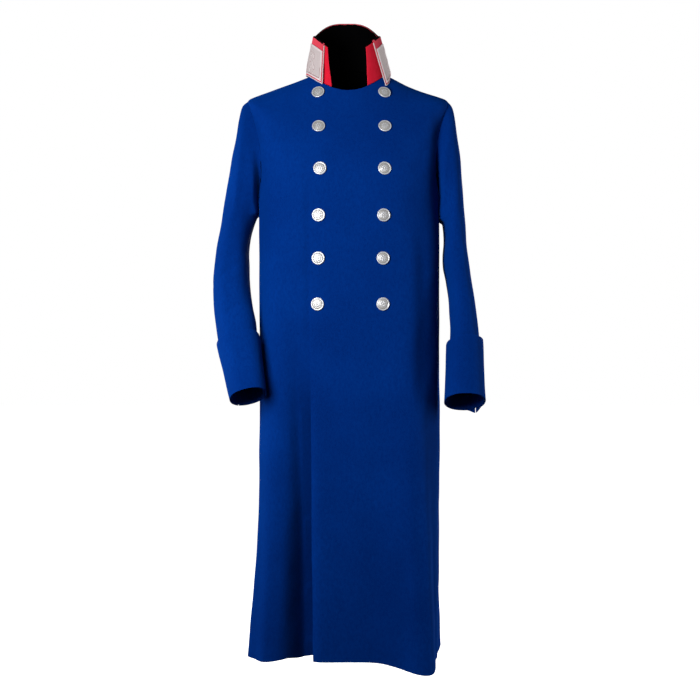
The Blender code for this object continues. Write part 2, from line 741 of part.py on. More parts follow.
def build_piping():
    """A round cord sewn along the fall's free edges."""
    path = piping_path()
    vertices, faces = [], []
    previous = None
    for index, point in enumerate(path):
        before = path[max(index - 1, 0)]
        after = path[min(index + 1, len(path) - 1)]
        along = (after - before).normalized()
        guide = previous if previous else along.orthogonal()
        first = (guide - along * guide.dot(along)).normalized()
        second = along.cross(first)
        previous = first
        for side in range(PIPING_SIDES):
            turn = 2 * math.pi * side / PIPING_SIDES
            vertices.append(point + (first * math.cos(turn) + second * math.sin(turn)) * PIPING_RADIUS)
    for index in range(len(path) - 1):
        for side in range(PIPING_SIDES):
            near = index * PIPING_SIDES
            far = near + PIPING_SIDES
            following = (side + 1) % PIPING_SIDES
            faces.append([near + side, near + following, far + following, far + side])
    faces.append(list(reversed(range(PIPING_SIDES))))
    last = (len(path) - 1) * PIPING_SIDES
    faces.append([last + side for side in range(PIPING_SIDES)])
    add_mesh("collar_piping", vertices, faces, PIPING_WHITE)


def build_facing():
    """The dark facing inside the back of the neck, below the collar."""
    outer, inner = [], []
    for run in spread_evenly(NECK - FACING_DEPTH, NECK - FACING_TOP, FACING_ROWS):
        outside, inside = [], []
        for angle in spread_evenly(FACING_START, 360.0 - FACING_START, FACING_COLUMNS):
            out = body_normal(angle, run)
            point = body_point(angle, run) - out * (CLOTH + FACING_GAP)
            outside.append(point)
            inside.append(point - out * LINING)
        outer.append(outside)
        inner.append(inside)
    cloth_wall("neck_facing", outer, inner, LINING_BLACK)


def front_run_at_height(wanted_x, wanted_z):
    """The run and angle where the front reaches a wanted place across and height."""
    low, high = HEM, NECK
    for _ in range(30):
        run = (low + high) / 2
        angle = angle_at_x(wanted_x, run)
        if body_point(angle, run).z < wanted_z:
            low = run
        else:
            high = run
    return angle, run


def build_buttons():
    """Twelve turned buttons on shanks, square to the cloth beneath them."""
    for number, row in enumerate(BUTTON_ROWS, start=1):
        for arm, across in (("right", row.right_x), ("left", row.left_x)):
            angle, run = front_run_at_height(across, row.height)
            point = body_point(angle, run)
            out = body_normal(angle, run)
            seat = point + out * (lap_lift(point) + SEAM)
            aim = Vector((0, 0, 1)).rotation_difference(out).to_matrix()
            vertices, faces = [], []
            for radius, height in BUTTON_PROFILE:
                for side in range(BUTTON_SIDES):
                    turn = 2 * math.pi * side / BUTTON_SIDES
                    local = Vector((radius * math.cos(turn), radius * math.sin(turn), height))
                    vertices.append(seat + aim @ local)
            vertices.append(seat + aim @ Vector((0, 0, BUTTON_FACE_HEIGHT)))
            for ring in range(len(BUTTON_PROFILE) - 1):
                for side in range(BUTTON_SIDES):
                    near = ring * BUTTON_SIDES
                    far = near + BUTTON_SIDES
                    following = (side + 1) % BUTTON_SIDES
                    faces.append([near + side, near + following, far + following, far + side])
            faces.append(list(reversed(range(BUTTON_SIDES))))
            last = (len(BUTTON_PROFILE) - 1) * BUTTON_SIDES
            for side in range(BUTTON_SIDES):
                faces.append([last + side, last + (side + 1) % BUTTON_SIDES, len(vertices) - 1])
            add_mesh(f"button_{arm}_{number}", vertices, faces, BUTTON_SILVER)


clear_scene()
build_body()
build_sleeves()
build_cuffs()
build_collar()
build_lace()
build_piping()
build_facing()
build_buttons()
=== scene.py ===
"""The greatcoat as it looks: blue wool, red collar, silver lace, white piping and metal buttons.

Metres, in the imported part's frame. X runs to the viewer's right, which is the wearer's left.
Y runs away from the viewer, and Z is up. The cloth's measures repeat the part's own, on closer
rows and columns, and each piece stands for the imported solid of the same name.
"""
import math
from collections import namedtuple

import bpy
import numpy as np
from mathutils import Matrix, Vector
from mathutils.kdtree import KDTree


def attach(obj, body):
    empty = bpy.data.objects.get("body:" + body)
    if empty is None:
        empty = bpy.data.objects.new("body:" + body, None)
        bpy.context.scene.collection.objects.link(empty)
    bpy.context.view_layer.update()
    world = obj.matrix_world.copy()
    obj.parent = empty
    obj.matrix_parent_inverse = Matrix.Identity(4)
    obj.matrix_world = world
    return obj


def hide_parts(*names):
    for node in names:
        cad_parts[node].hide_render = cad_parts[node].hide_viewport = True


# Cloth walls and the gaps between pieces. SEAM is the gap inside the collar's stand and under the
# buttons: the panels and the sleeves' pieces meet edge to edge.
CLOTH = 0.002
SEAM = 0.0002
LINING = 0.001
LAP_GAP = 0.0005
TINY = 0.0005
EDGE_ROUND = 0.0002
FREE_EDGE_ROUND = 0.0010
# Distances of the closest rows and columns from a piece's edge
CLOSE_STEPS = np.array([0.0, 0.00015, 0.0004, 0.0008, 0.0014, 0.0024])

# The front edges: how far each front runs past the middle, at the neck and at the hem, where it
# is drawn to beneath the collar, and where the upper front comes down onto its own side
OVERLAP_NECK_X = -0.0805
OVERLAP_HEM_X = -0.0695
UNDERLAP_NECK_X = 0.0740
UNDERLAP_HEM_X = 0.0660
OVERLAP_COLLAR_X = -0.0770
UNDERLAP_COLLAR_X = 0.0700
LAP_FADE_START = 0.004
LAP_FADE_X = 0.050

# Steps of the fine grids
PANEL_STEP = 0.0042
SKIRT_STEP = 0.0060
ARMHOLE_ROWS = 46
YOKE_STEP = 0.0055
SLEEVE_STEP = 0.0042

# Slight waves, the doubled hem, and how far the lining stops short of the edges
BODY_WAVE = 0.0007
SLEEVE_WAVE = 0.0009
SETTLE_START = 0.012
HEM_TURN = 0.045
HEM_EXTRA = 0.0008
LINING_FROM_HEM = 0.042
LINING_FROM_MIDDLE = 0.11
LINING_FROM_CUFF = 0.030

# The body's rings. run is the measure up the side seam, on over the shoulder to the neck.
# side, front and back are the heights of a ring there. half_width, front_depth and back_depth
# are its reach from the middle, and squareness is the exponent of its rounded outline.
Ring = namedtuple(
    "Ring", "run side front back middle_x half_width middle_y front_depth back_depth squareness"
)
HEM = -1.204
ARMPIT = -0.262
SHOULDER = -0.038
ARMHOLE_MIDDLE = (ARMPIT + SHOULDER) / 2
ARMHOLE_HALF = (SHOULDER - ARMPIT) / 2
NECK = 0.100
BODY_RINGS = [
    Ring(HEM, HEM, HEM, HEM, 0.0045, 0.1945, 0.008, 0.104, 0.172, 2.5),
    Ring(-1.000, -1.000, -1.000, -1.000, 0.0050, 0.1910, 0.004, 0.112, 0.152, 2.4),
    Ring(-0.800, -0.800, -0.800, -0.800, 0.0045, 0.1902, 0.002, 0.120, 0.134, 2.4),
    Ring(-0.600, -0.600, -0.600, -0.600, 0.0034, 0.1890, 0.000, 0.127, 0.116, 2.4),
    Ring(-0.460, -0.460, -0.460, -0.460, 0.0030, 0.1890, 0.000, 0.131, 0.108, 2.5),
    Ring(-0.360, -0.360, -0.360, -0.360, 0.0028, 0.1890, 0.000, 0.132, 0.111, 2.6),
    Ring(ARMPIT, -0.262, -0.262, -0.262, 0.0020, 0.1885, 0.000, 0.131, 0.116, 2.6),
    Ring(-0.200, -0.200, -0.215, -0.205, 0.0014, 0.1920, 0.002, 0.130, 0.118, 2.6),
    Ring(-0.140, -0.142, -0.175, -0.155, 0.0008, 0.1980, 0.003, 0.126, 0.118, 2.5),
    Ring(-0.080, -0.085, -0.142, -0.115, 0.0004, 0.2060, 0.004, 0.117, 0.112, 2.4),
    Ring(-0.050, -0.056, -0.125, -0.095, 0.0002, 0.2100, 0.004, 0.112, 0.108, 2.3),
    Ring(SHOULDER, -0.045, -0.116, -0.084, -0.0010, 0.2090, 0.004, 0.108, 0.105, 2.2),
    Ring(-0.020, -0.038, -0.108, -0.073, -0.0030, 0.1970, 0.004, 0.105, 0.103, 2.1),
    Ring(0.020, -0.024, -0.091, -0.043, -0.0045, 0.1565, 0.003, 0.097, 0.095, 2.0),
    Ring(0.060, -0.009, -0.066, -0.009, -0.0025, 0.1170, 0.002, 0.087, 0.083, 2.0),
    Ring(NECK, 0.006, -0.034, 0.030, 0.0000, 0.0800, 0.000, 0.074, 0.070, 2.0),
]
ARMPIT_RING = next(ring for ring in BODY_RINGS if ring.run == ARMPIT)

# Skirt folds: degrees round the body from the middle front, towards the viewer's right, the
# reach at the hem, the height where a fold begins, and how much lower it lets the hem hang
Fold = namedtuple("Fold", "angle spread reach start drop")
SKIRT_FOLDS = [
    Fold(-76.0, 13.0, 0.024, -0.80, 0.000),
    Fold(-55.0, 11.0, 0.020, -0.45, 0.004),
    Fold(-31.0, 9.0, -0.080, -0.42, 0.000),
    Fold(-8.0, 9.0, 0.004, -0.70, 0.000),
    Fold(36.5, 15.0, 0.074, -0.30, 0.018),
    Fold(84.0, 14.0, -0.012, -0.60, 0.000),
    Fold(122.0, 13.0, 0.024, -0.55, 0.000),
    Fold(144.0, 8.0, -0.024, -0.48, 0.000),
    Fold(162.0, 9.0, 0.018, -0.55, 0.000),
    Fold(180.0, 8.0, -0.014, -0.50, 0.000),
    Fold(-160.0, 10.0, 0.024, -0.50, 0.000),
    Fold(-136.0, 10.0, -0.026, -0.42, 0.000),
    Fold(-110.0, 12.0, 0.018, -0.60, 0.000),
]
FOLD_GROWTH = 1.35

# The armhole, as a rounded opening about the side of the body
ARMHOLE_FRONT_ANGLE = 25.0
ARMHOLE_BACK_ANGLE = 34.0
ARMHOLE_CLEARANCE = 0.00005
ARMHOLE_FADE = 0.085

# The sleeves' sections: the distance down the sleeve, the places of a section's outer and inner
# edge, its middle from front to back, half its depth, and the degrees that it faces forward
Section = namedtuple("Section", "run outer_x outer_z inner_x inner_z y depth tip")
SLEEVE_END = 0.515
CUFF_TOP = 0.400
RIGHT_ARM = [
    Section(0.000, -0.2090, -0.045, -0.1865, -0.262, 0.0065, 0.0690, 0),
    Section(0.012, -0.2210, -0.056, -0.1880, -0.273, 0.0065, 0.0720, 0),
    Section(0.030, -0.2275, -0.081, -0.1910, -0.288, 0.0065, 0.0750, 0),
    Section(0.065, -0.2352, -0.126, -0.1975, -0.306, 0.0060, 0.0775, 0),
    Section(0.100, -0.2436, -0.168, -0.2030, -0.325, 0.0050, 0.0785, 0),
    Section(0.135, -0.2499, -0.210, -0.2060, -0.345, 0.0030, 0.0785, 0),
    Section(0.170, -0.2583, -0.256, -0.2078, -0.368, 0.0000, 0.0785, 1),
    Section(0.205, -0.2646, -0.300, -0.2068, -0.392, -0.0040, 0.0780, 3),
    Section(0.245, -0.2735, -0.352, -0.2060, -0.418, -0.0100, 0.0770, 6),
    Section(0.285, -0.2790, -0.405, -0.2035, -0.448, -0.0210, 0.0750, 9),
    Section(0.325, -0.2790, -0.455, -0.1980, -0.478, -0.0370, 0.0720, 12),
    Section(0.365, -0.2740, -0.508, -0.1905, -0.508, -0.0560, 0.0680, 15),
    Section(CUFF_TOP, -0.2650, -0.558, -0.1860, -0.538, -0.0740, 0.0640, 17),
    Section(0.460, -0.2505, -0.614, -0.1770, -0.594, -0.0980, 0.0600, 17),
    Section(SLEEVE_END, -0.2370, -0.668, -0.1685, -0.652, -0.1180, 0.0580, 17),
]
LEFT_ARM = [
    Section(0.000, 0.2090, -0.045, 0.1905, -0.262, 0.0065, 0.0690, 0),
    Section(0.012, 0.2185, -0.057, 0.1920, -0.270, 0.0065, 0.0720, 0),
    Section(0.030, 0.2240, -0.082, 0.1945, -0.280, 0.0065, 0.0750, 0),
    Section(0.065, 0.2300, -0.126, 0.1980, -0.297, 0.0060, 0.0780, 0),
    Section(0.100, 0.2352, -0.168, 0.2015, -0.322, 0.0050, 0.0800, 0),
    Section(0.135, 0.2380, -0.210, 0.2025, -0.346, 0.0030, 0.0810, 0),
    Section(0.170, 0.2420, -0.254, 0.2000, -0.372, 0.0000, 0.0815, 1),
    Section(0.205, 0.2450, -0.300, 0.2000, -0.396, -0.0040, 0.0815, 3),
    Section(0.245, 0.2485, -0.352, 0.2060, -0.425, -0.0090, 0.0805, 5),
    Section(0.285, 0.2540, -0.404, 0.2100, -0.455, -0.0170, 0.0780, 7),
    Section(0.325, 0.2605, -0.455, 0.2110, -0.485, -0.0280, 0.0745, 9),
    Section(0.365, 0.2670, -0.505, 0.2120, -0.518, -0.0410, 0.0700, 12),
    Section(CUFF_TOP, 0.2715, -0.552, 0.2105, -0.554, -0.0540, 0.0655, 14),
    Section(0.460, 0.2745, -0.613, 0.2055, -0.612, -0.0740, 0.0625, 17),
    Section(SLEEVE_END, 0.2780, -0.672, 0.1995, -0.671, -0.0920, 0.0610, 18),
]
SLEEVE_SQUARENESS = 2.25
FOREARM_SEAM = 115.0
HINDARM_SEAM = 305.0

# The turned-back cuffs: how far they stand off the sleeve at the top and at the fold
CUFF_STAND_TOP = {"left": 0.0065, "right": 0.0040}
CUFF_STAND_END = 0.0030
CUFF_SLIT = 1.6
CUFF_SPILL = 0.0015
CUFF_CORNER_DROP = {"left": 0.008, "right": 0.0}
CUFF_CORNER_SPREAD = 26.0

# The collar: rings at the neck seam, the fold line and the fall's lower edge
CollarRing = namedtuple(
    "CollarRing", "side front back middle_x half_width front_depth back_depth crown"
)
NECK_RING = CollarRing(0.006, -0.034, 0.030, 0.0000, 0.0800, 0.0740, 0.0700, 2.0)
FOLD_RING = CollarRing(0.0915, 0.0460, 0.1310, -0.0025, 0.0680, 0.0700, 0.0650, 3.0)
FALL_RING = CollarRing(0.0105, -0.0330, 0.0290, 0.0008, 0.0890, 0.0860, 0.0835, 2.0)
COLLAR_HEIGHT = 0.095
COLLAR_SEAM_LIFT = 0.0024
CREST_RADIUS = 0.0036
CREST_START = -36.0
CREST_GAP = 0.0012
CREST_SHARE = 0.12
CREST_BINDING = 0.104
STAND_END_NECK = {"left": 30.8, "right": 24.7}
STAND_END_FOLD = {"left": 36.5, "right": 36.0}
FALL_END_FOLD = {"left": 52.0, "right": 43.0}
FALL_END_EDGE = {"left": 54.4, "right": 38.6}
TIP_DROP = 0.0140
TIP_REACH = 0.0080
TIP_SPREAD = 26.0
COLLAR_STEP = 0.0030
PIPING_RADIUS = 0.0012
PIPING_GAP = 0.0005
PIPING_SIDES = 14
PIPING_STEP = 0.0008
PIPING_LAY = 0.0075

# The lace patches on the fall's ends: from the front edge back, in degrees, and down the fall
LACE_START = 0.6
LACE_BACK_TOP = 58.0
LACE_BACK_EDGE = 40.0
LACE_TOP = 0.27
LACE_EDGE = 0.980
LACE_WALL = 0.0010
LACE_RELIEF = 0.0007
LACE_ROWS = 110
LACE_COLUMNS = 100

# The facing inside the back of the neck, painted near black as shade
FACING_START = 100.0
FACING_DEPTH = 0.069
FACING_GAP = 0.0014

# Buttons: the height of each row, and the place of its two buttons across the front
ButtonRow = namedtuple("ButtonRow", "height right_x left_x")
BUTTON_ROWS = [
    ButtonRow(-0.0390, -0.0604, 0.0737),
    ButtonRow(-0.1135, -0.0595, 0.0749),
    ButtonRow(-0.2000, -0.0562, 0.0732),
    ButtonRow(-0.2945, -0.0588, 0.0714),
    ButtonRow(-0.3815, -0.0594, 0.0702),
    ButtonRow(-0.4740, -0.0608, 0.0702),
]
BUTTON_RADIUS = 0.01335
BUTTON_SHANK = 0.0040
BUTTON_SIDES = 72
BUTTON_PETALS = 8

# Listed creases. face is the side that a crease is seen from, across is the place along X
# for the front and back or along Y for the sides, bow bends its middle sideways, and height is
# how far it stands out, or in where it is negative.
Crease = namedtuple("Crease", "face across_top top across_end end bow width height")


def creases_by_face(**faces):
    """Creases from rows of figures, in the order that they are given."""
    return [Crease(face, *row) for face, rows in faces.items() for row in rows]


BODY_CREASES = creases_by_face(
    front=[
        (0.148, -0.280, 0.150, -0.740, 0.003, 0.015, -0.0055),
        (0.174, -0.560, 0.180, -1.400, -0.002, 0.014, 0.0100),
        (0.146, -0.640, 0.146, -1.400, -0.002, 0.013, -0.0030),
        (-0.178, -0.170, -0.176, -0.640, 0.001, 0.012, -0.0080),
        (0.190, -0.050, 0.192, -0.340, 0.000, 0.016, -0.0130),
        (0.150, -0.080, 0.156, -0.420, 0.000, 0.034, -0.0070),
        (-0.189, -0.050, -0.191, -0.330, 0.000, 0.013, -0.0100),
        (0.112, -0.930, 0.120, -1.270, 0.004, 0.022, -0.0045),
        (0.087, -0.090, 0.086, -0.370, 0.000, 0.004, 0.0008),
        (-0.150, -0.300, -0.140, -0.620, 0.004, 0.014, 0.0025),
        (-0.120, -0.560, -0.112, -1.000, 0.004, 0.012, 0.0020),
        (0.020, -0.230, 0.004, -0.360, 0.003, 0.014, -0.0016),
        (0.040, -0.560, 0.020, -0.900, 0.004, 0.030, 0.0022),
        (-0.020, -0.700, -0.010, -1.270, -0.006, 0.026, -0.0020),
        (-0.172, -0.130, -0.120, -0.250, 0.006, 0.012, -0.0016),
        (0.172, -0.120, 0.118, -0.230, -0.006, 0.012, -0.0016),
    ],
    back=[
        (-0.060, -0.220, -0.075, -0.640, -0.006, 0.018, -0.0040),
        (0.065, -0.240, 0.080, -0.700, 0.006, 0.018, -0.0040),
        (-0.105, -0.380, 0.020, -0.425, -0.010, 0.013, -0.0030),
        (0.110, -0.360, -0.015, -0.400, -0.008, 0.012, -0.0026),
        (-0.120, -0.150, -0.170, -0.240, 0.004, 0.010, -0.0026),
        (0.120, -0.150, 0.170, -0.240, -0.004, 0.010, -0.0026),
        (0.020, -0.700, 0.030, -1.260, 0.006, 0.016, 0.0030),
    ],
    left=[
        (-0.020, -0.300, -0.030, -0.760, 0.006, 0.016, -0.0040),
        (0.050, -0.420, 0.060, -1.050, -0.006, 0.020, 0.0035),
    ],
    right=[
        (-0.030, -0.320, -0.020, -0.800, -0.006, 0.016, -0.0040),
        (0.050, -0.430, 0.070, -1.080, 0.006, 0.020, 0.0035),
    ],
)
# Creases of one panel only, beside the overlapping edge
NODE_CREASES = {
    "front_right": creases_by_face(
        front=[
            (-0.0790, -0.140, -0.0770, -0.800, 0.000, 0.0090, -0.0050),
            (-0.0890, -0.400, -0.0890, -1.900, 0.000, 0.0200, -0.0150),
            (-0.0930, -0.760, -0.0990, -2.400, 0.000, 0.0300, -0.0180),
            (-0.1330, -0.440, -0.1330, -1.320, 0.002, 0.0180, 0.0040),
        ],
    ),
    "front_left": creases_by_face(
        front=[
            (-0.0800, -0.500, -0.0760, -1.900, 0.001, 0.0300, 0.0060),
        ],
    ),
}
# The trough on the front beneath, beside the overlapping edge: where its lowest line is looked
# for, the height that it starts from, how steeply it runs on under the edge, where it ends, and
# how far it lets the hem down. It is deeper than its solid has it, by up to 76 mm near the hem.
TROUGH_X = -0.092
TROUGH_SEARCH = 0.017
TROUGH_TOP = -0.560
TROUGH_SLOPE = 0.7
TROUGH_END_X = -0.040
TROUGH_HEM_DROP = 0.011
# The deep fold beside each armhole seam, from the chest to the armpit, in degrees round the
# sleeve. It reaches further down the sleeve the nearer it is to the armpit.
UNDERARM_START = {"left": 62.0, "right": 78.0}
UNDERARM_END = 172.0
UNDERARM_DEPTH = 0.030
UNDERARM_FLOOR = 0.004
UNDERARM_REACH = 0.046
# How far down each sleeve's inner side is tucked against the body, below the armpit
TUCK_END = {"left": -0.301, "right": -0.289}
TUCK_GAP = 0.0008
SLEEVE_CREASES = {
    "right": creases_by_face(
        front=[
            (-0.2200, -0.085, -0.2360, -0.330, 0.003, 0.0075, 0.0040),
            (-0.2150, -0.320, -0.2450, -0.400, 0.000, 0.0090, -0.0012),
            (-0.2200, -0.380, -0.2700, -0.430, 0.003, 0.0100, -0.0028),
            (-0.2150, -0.470, -0.2560, -0.500, 0.002, 0.0090, -0.0024),
        ],
        back=[
            (-0.2100, -0.180, -0.2450, -0.290, 0.004, 0.0110, -0.0040),
            (-0.2150, -0.330, -0.2600, -0.390, 0.004, 0.0100, -0.0036),
            (-0.2100, -0.420, -0.2620, -0.450, 0.003, 0.0100, -0.0030),
        ],
        right=[
            (0.0450, -0.280, -0.0200, -0.350, 0.004, 0.0110, -0.0030),
            (0.0350, -0.400, -0.0450, -0.440, 0.004, 0.0100, -0.0026),
        ],
    ),
    "left": creases_by_face(
        front=[
            (0.2170, -0.095, 0.2250, -0.330, 0.002, 0.0080, 0.0024),
            (0.2080, -0.310, 0.2350, -0.390, 0.000, 0.0090, -0.0028),
            (0.2150, -0.400, 0.2480, -0.450, 0.003, 0.0100, -0.0026),
        ],
        back=[
            (0.2080, -0.180, 0.2320, -0.290, 0.004, 0.0110, -0.0040),
            (0.2100, -0.330, 0.2420, -0.390, 0.004, 0.0100, -0.0036),
            (0.2120, -0.430, 0.2500, -0.460, 0.003, 0.0100, -0.0030),
        ],
        left=[
            (0.0450, -0.270, -0.0200, -0.340, 0.004, 0.0110, -0.0030),
            (0.0350, -0.390, -0.0400, -0.440, 0.004, 0.0100, -0.0026),
        ],
    ),
}
SIDE = {"left": 1.0, "right": -1.0}
FACE_OUT = {
    "front": np.array([0.0, -1.0, 0.0]),
    "back": np.array([0.0, 1.0, 0.0]),
    "left": np.array([1.0, 0.0, 0.0]),
    "right": np.array([-1.0, 0.0, 0.0]),
}

# The fields of a cloth piece's cut: width and length, flat area, how it is held, and what it
# hangs from or lies on. The widths and lengths are estimates, and most are smaller than the
# shells' own.
Cut = namedtuple("Cut", "flat area held rests_on")
UP = np.array([0.0, 0.0, 1.0])

# The camera, which stands level with the waist, and the picture's scale at the coat's middle
CAMERA_PLACE = (0.0042, -3.4, -0.567)
METRES_ACROSS = 1.47
SENSOR = 36.0
FLOOR_HEIGHT = -1.38
# The surround's brightness on plain and on glossy faces, and the lamps
SURROUND_LIGHT = 0.03
SURROUND_GLOSS = 0.55
Lamp = namedtuple("Lamp", "name place aim size power")
LAMPS = [
    Lamp("key", (-0.52, -1.24, -0.24), (0.0, 0.0, -0.30), 0.5, 14.0),
    Lamp("fill", (1.2, -2.6, -0.1), (0.0, 0.0, -0.4), 1.2, 0.8),
    Lamp("top", (0.0, -0.9, 1.7), (0.0, 0.0, -0.2), 0.8, 1.5),
    Lamp("left_rim", (-1.9, 0.45, -0.50), (0.0, 0.0, -0.60), 1.0, 17.0),
    Lamp("right_rim", (1.9, 0.45, -0.50), (0.0, 0.0, -0.60), 1.0, 24.0),
    Lamp("back", (0.5, 2.6, 0.1), (0.0, 0.0, -0.50), 1.4, 22.0),
]


def read_rows(rows, run, column):
    """One column of a table at any runs, on a smooth curve through its rows."""
    runs = np.array([row.run for row in rows])
    values = np.array([getattr(row, column) for row in rows], float)
    last = len(rows) - 1
    before = np.maximum(np.arange(last + 1) - 1, 0)
    after = np.minimum(np.arange(last + 1) + 1, last)
    slopes = (values[after] - values[before]) / (runs[after] - runs[before])
    spot = np.clip(np.searchsorted(runs, run, side="left") - 1, 0, last - 1)
    span = runs[spot + 1] - runs[spot]
    share = np.clip((run - runs[spot]) / span, 0.0, 1.0)
    return (
        values[spot] * (2 * share ** 3 - 3 * share ** 2 + 1)
        + slopes[spot] * span * (share ** 3 - 2 * share ** 2 + share)
        + values[spot + 1] * (3 * share ** 2 - 2 * share ** 3)
        + slopes[spot + 1] * span * (share ** 3 - share ** 2)
    )


def smooth(value):
    """Ease from 0 to 1."""
    value = np.clip(value, 0.0, 1.0)
    return value * value * (3 - 2 * value)


def mix(start, end, share):
    return start + (end - start) * share


def rounded(value, squareness):
    """Sine or cosine of a ring, drawn out towards a square by its exponent."""
    return np.sign(value) * np.abs(value) ** (2.0 / squareness)


def unit(vectors):
    return vectors / np.maximum(np.linalg.norm(vectors, axis=-1, keepdims=True), 1e-12)


def body_surface(angle, run):
    """The coat's outer face at angles from the middle front and runs up the side."""
    angle, run = np.broadcast_arrays(np.asarray(angle, float), np.asarray(run, float))
    ring = {name: read_rows(BODY_RINGS, run, name) for name in Ring._fields[1:]}
    sine, cosine = np.sin(np.radians(angle)), np.cos(np.radians(angle))
    square = ring["squareness"]
    depth = np.where(cosine > 0, ring["front_depth"], ring["back_depth"])
    x = ring["middle_x"] + ring["half_width"] * rounded(sine, square)
    y = ring["middle_y"] - depth * rounded(cosine, square)
    z = mix(np.where(cosine > 0, ring["front"], ring["back"]), ring["side"], sine * sine)
    across = rounded(sine, square / (square - 1)) / ring["half_width"]
    ahead = rounded(cosine, square / (square - 1)) / depth
    length = np.hypot(across, ahead)
    for fold in SKIRT_FOLDS:
        growth = np.clip((fold.start - run) / (fold.start - HEM), 0.0, None) ** FOLD_GROWTH
        turn = (angle - fold.angle + 180.0) % 360.0 - 180.0
        wave = np.exp(-(turn / fold.spread) ** 2)
        x = x + fold.reach * growth * wave * across / length
        y = y - fold.reach * growth * wave * ahead / length
        z = z - fold.drop * growth * wave
    return np.stack([x, y, z], axis=-1)


def surface_normal(surface, first, second, step_first, step_second):
    """The outward side of a surface, from its own points close by."""
    along = surface(first + step_first, second) - surface(first - step_first, second)
    up = surface(first, second + step_second) - surface(first, second - step_second)
    return unit(np.cross(along, up))


def body_normal(angle, run):
    return surface_normal(body_surface, angle, np.minimum(run, NECK - TINY), 0.4, TINY)


def angle_at_x(wanted_x, run):
    """The angles on the front where the body reaches wanted places across."""
    low = np.full(np.shape(run), -88.0)
    high = np.full(np.shape(run), 88.0)
    for _ in range(30):
        middle = (low + high) / 2
        below = body_surface(middle, run)[..., 0] < wanted_x
        low = np.where(below, middle, low)
        high = np.where(below, high, middle)
    return (low + high) / 2


def armhole_reach(run):
    """How wide the armhole is at a run, from 0 at its ends to 1 in its middle."""
    return np.sqrt(np.clip(1.0 - ((run - ARMHOLE_MIDDLE) / ARMHOLE_HALF) ** 2, 0.0, None))


def armhole_edge(side, turn):
    """The armhole's edge. turn is 0 at the shoulder, 90 at the front and 180 at the armpit."""
    run = ARMHOLE_MIDDLE + ARMHOLE_HALF * np.cos(np.radians(turn))
    lean = np.sin(np.radians(turn))
    spread = np.where(lean > 0, ARMHOLE_FRONT_ANGLE, ARMHOLE_BACK_ANGLE)
    angle = side * (90.0 - spread * lean)
    return body_surface(angle, run), body_normal(angle, run)


def body_runs():
    """The rows of every body panel, closer at the hem, about the armhole and at the neck."""
    hem = HEM + CLOSE_STEPS[:-1]
    skirt = np.linspace(HEM + CLOSE_STEPS[-1], ARMPIT, round((ARMPIT - HEM) / SKIRT_STEP))
    arm = ARMHOLE_MIDDLE - ARMHOLE_HALF * np.cos(np.linspace(0, math.pi, ARMHOLE_ROWS))
    yoke = np.linspace(SHOULDER, NECK - CLOSE_STEPS[-1], round((NECK - SHOULDER) / YOKE_STEP))
    neck = NECK - CLOSE_STEPS[-2::-1]
    return np.concatenate([hem, skirt, arm[1:], yoke[1:], neck])


def close_ended(steps, length, count):
    """Places from 0 to a length: close steps at both ends and a count of even ones between."""
    middle = np.linspace(steps[-1], length - steps[-1], count)
    return np.concatenate([steps[:-1], middle, length - steps[-2::-1]])


def even_columns(surface, start, end, runs, step):
    """Measures across each row, an even distance apart on the surface and close at its ends."""
    dense = mix(start[:, None], end[:, None], np.linspace(0, 1, 241)[None, :])
    points = surface(dense, runs[:, None])
    lengths = np.linalg.norm(np.diff(points, axis=1), axis=2)
    along = np.concatenate([np.zeros((len(runs), 1)), np.cumsum(lengths, axis=1)], axis=1)
    count = max(4, round(float(along[:, -1].max()) / step))
    rows = []
    for distances, measures in zip(along, dense):
        close = CLOSE_STEPS * min(1.0, distances[-1] / 0.02)
        rows.append(np.interp(close_ended(close, distances[-1], count), distances, measures))
    return np.array(rows)


def crease_push(points, normals, creases):
    """How far the listed creases move each point."""
    push = np.zeros_like(points)
    for number, crease in enumerate(creases):
        out = FACE_OUT[crease.face]
        across = points[..., 0] if crease.face in ("front", "back") else points[..., 1]
        down = (crease.top - points[..., 2]) / (crease.top - crease.end)
        within = np.clip(down, 0.0, 1.0)
        line = mix(crease.across_top, crease.across_end, within)
        line = line + crease.bow * np.sin(within * math.pi * 1.3 + number)
        away = (down - within) * (crease.top - crease.end)
        reach = np.hypot(across - line, away)
        ends = smooth(within / 0.28) * smooth((1.0 - within) / 0.28)
        uneven = 1.0 + 0.22 * np.sin(within * 11.0 + 1.7 * number)
        facing = smooth(normals @ out / 0.4)
        lift = crease.height * ends * uneven * facing * np.exp(-(reach / crease.width) ** 2)
        push += lift[..., None] * out
    return push


def soft_waves(points, size):
    """A slight unevenness, as cloth has after wear, the same in every run."""
    x, y, z = points[..., 0], points[..., 1], points[..., 2]
    wave = np.sin(31 * x + 17 * z + 1.3) + 0.8 * np.sin(23 * z - 41 * y + 0.4)
    wave = wave + 0.6 * np.sin(57 * x - 38 * z + 29 * y + 2.1) + 0.5 * np.sin(71 * z + 33 * x)
    wave = wave + 0.35 * np.sin(96 * y + 83 * x - 61 * z + 0.9)
    return size * wave / 2.2


def edge_distance(grid):
    """Each grid point's distance from the piece's edge."""
    rim = np.concatenate([grid[0], grid[1:, -1], grid[-1, -2::-1], grid[-2:0:-1, 0], grid[:1, 0]])
    lengths = np.linalg.norm(np.diff(rim, axis=0), axis=1)
    along = np.concatenate([[0.0], np.cumsum(lengths)])
    wanted = np.linspace(0, along[-1], int(along[-1] / 0.0004) + 2)
    rim = np.stack([np.interp(wanted, along, rim[:, axis]) for axis in range(3)], axis=1)
    tree = KDTree(len(rim))
    for index, point in enumerate(rim):
        tree.insert(point, index)
    tree.balance()
    flat = grid.reshape(-1, 3)
    found = np.array([tree.find(point)[2] for point in flat])
    return found.reshape(grid.shape[:2])


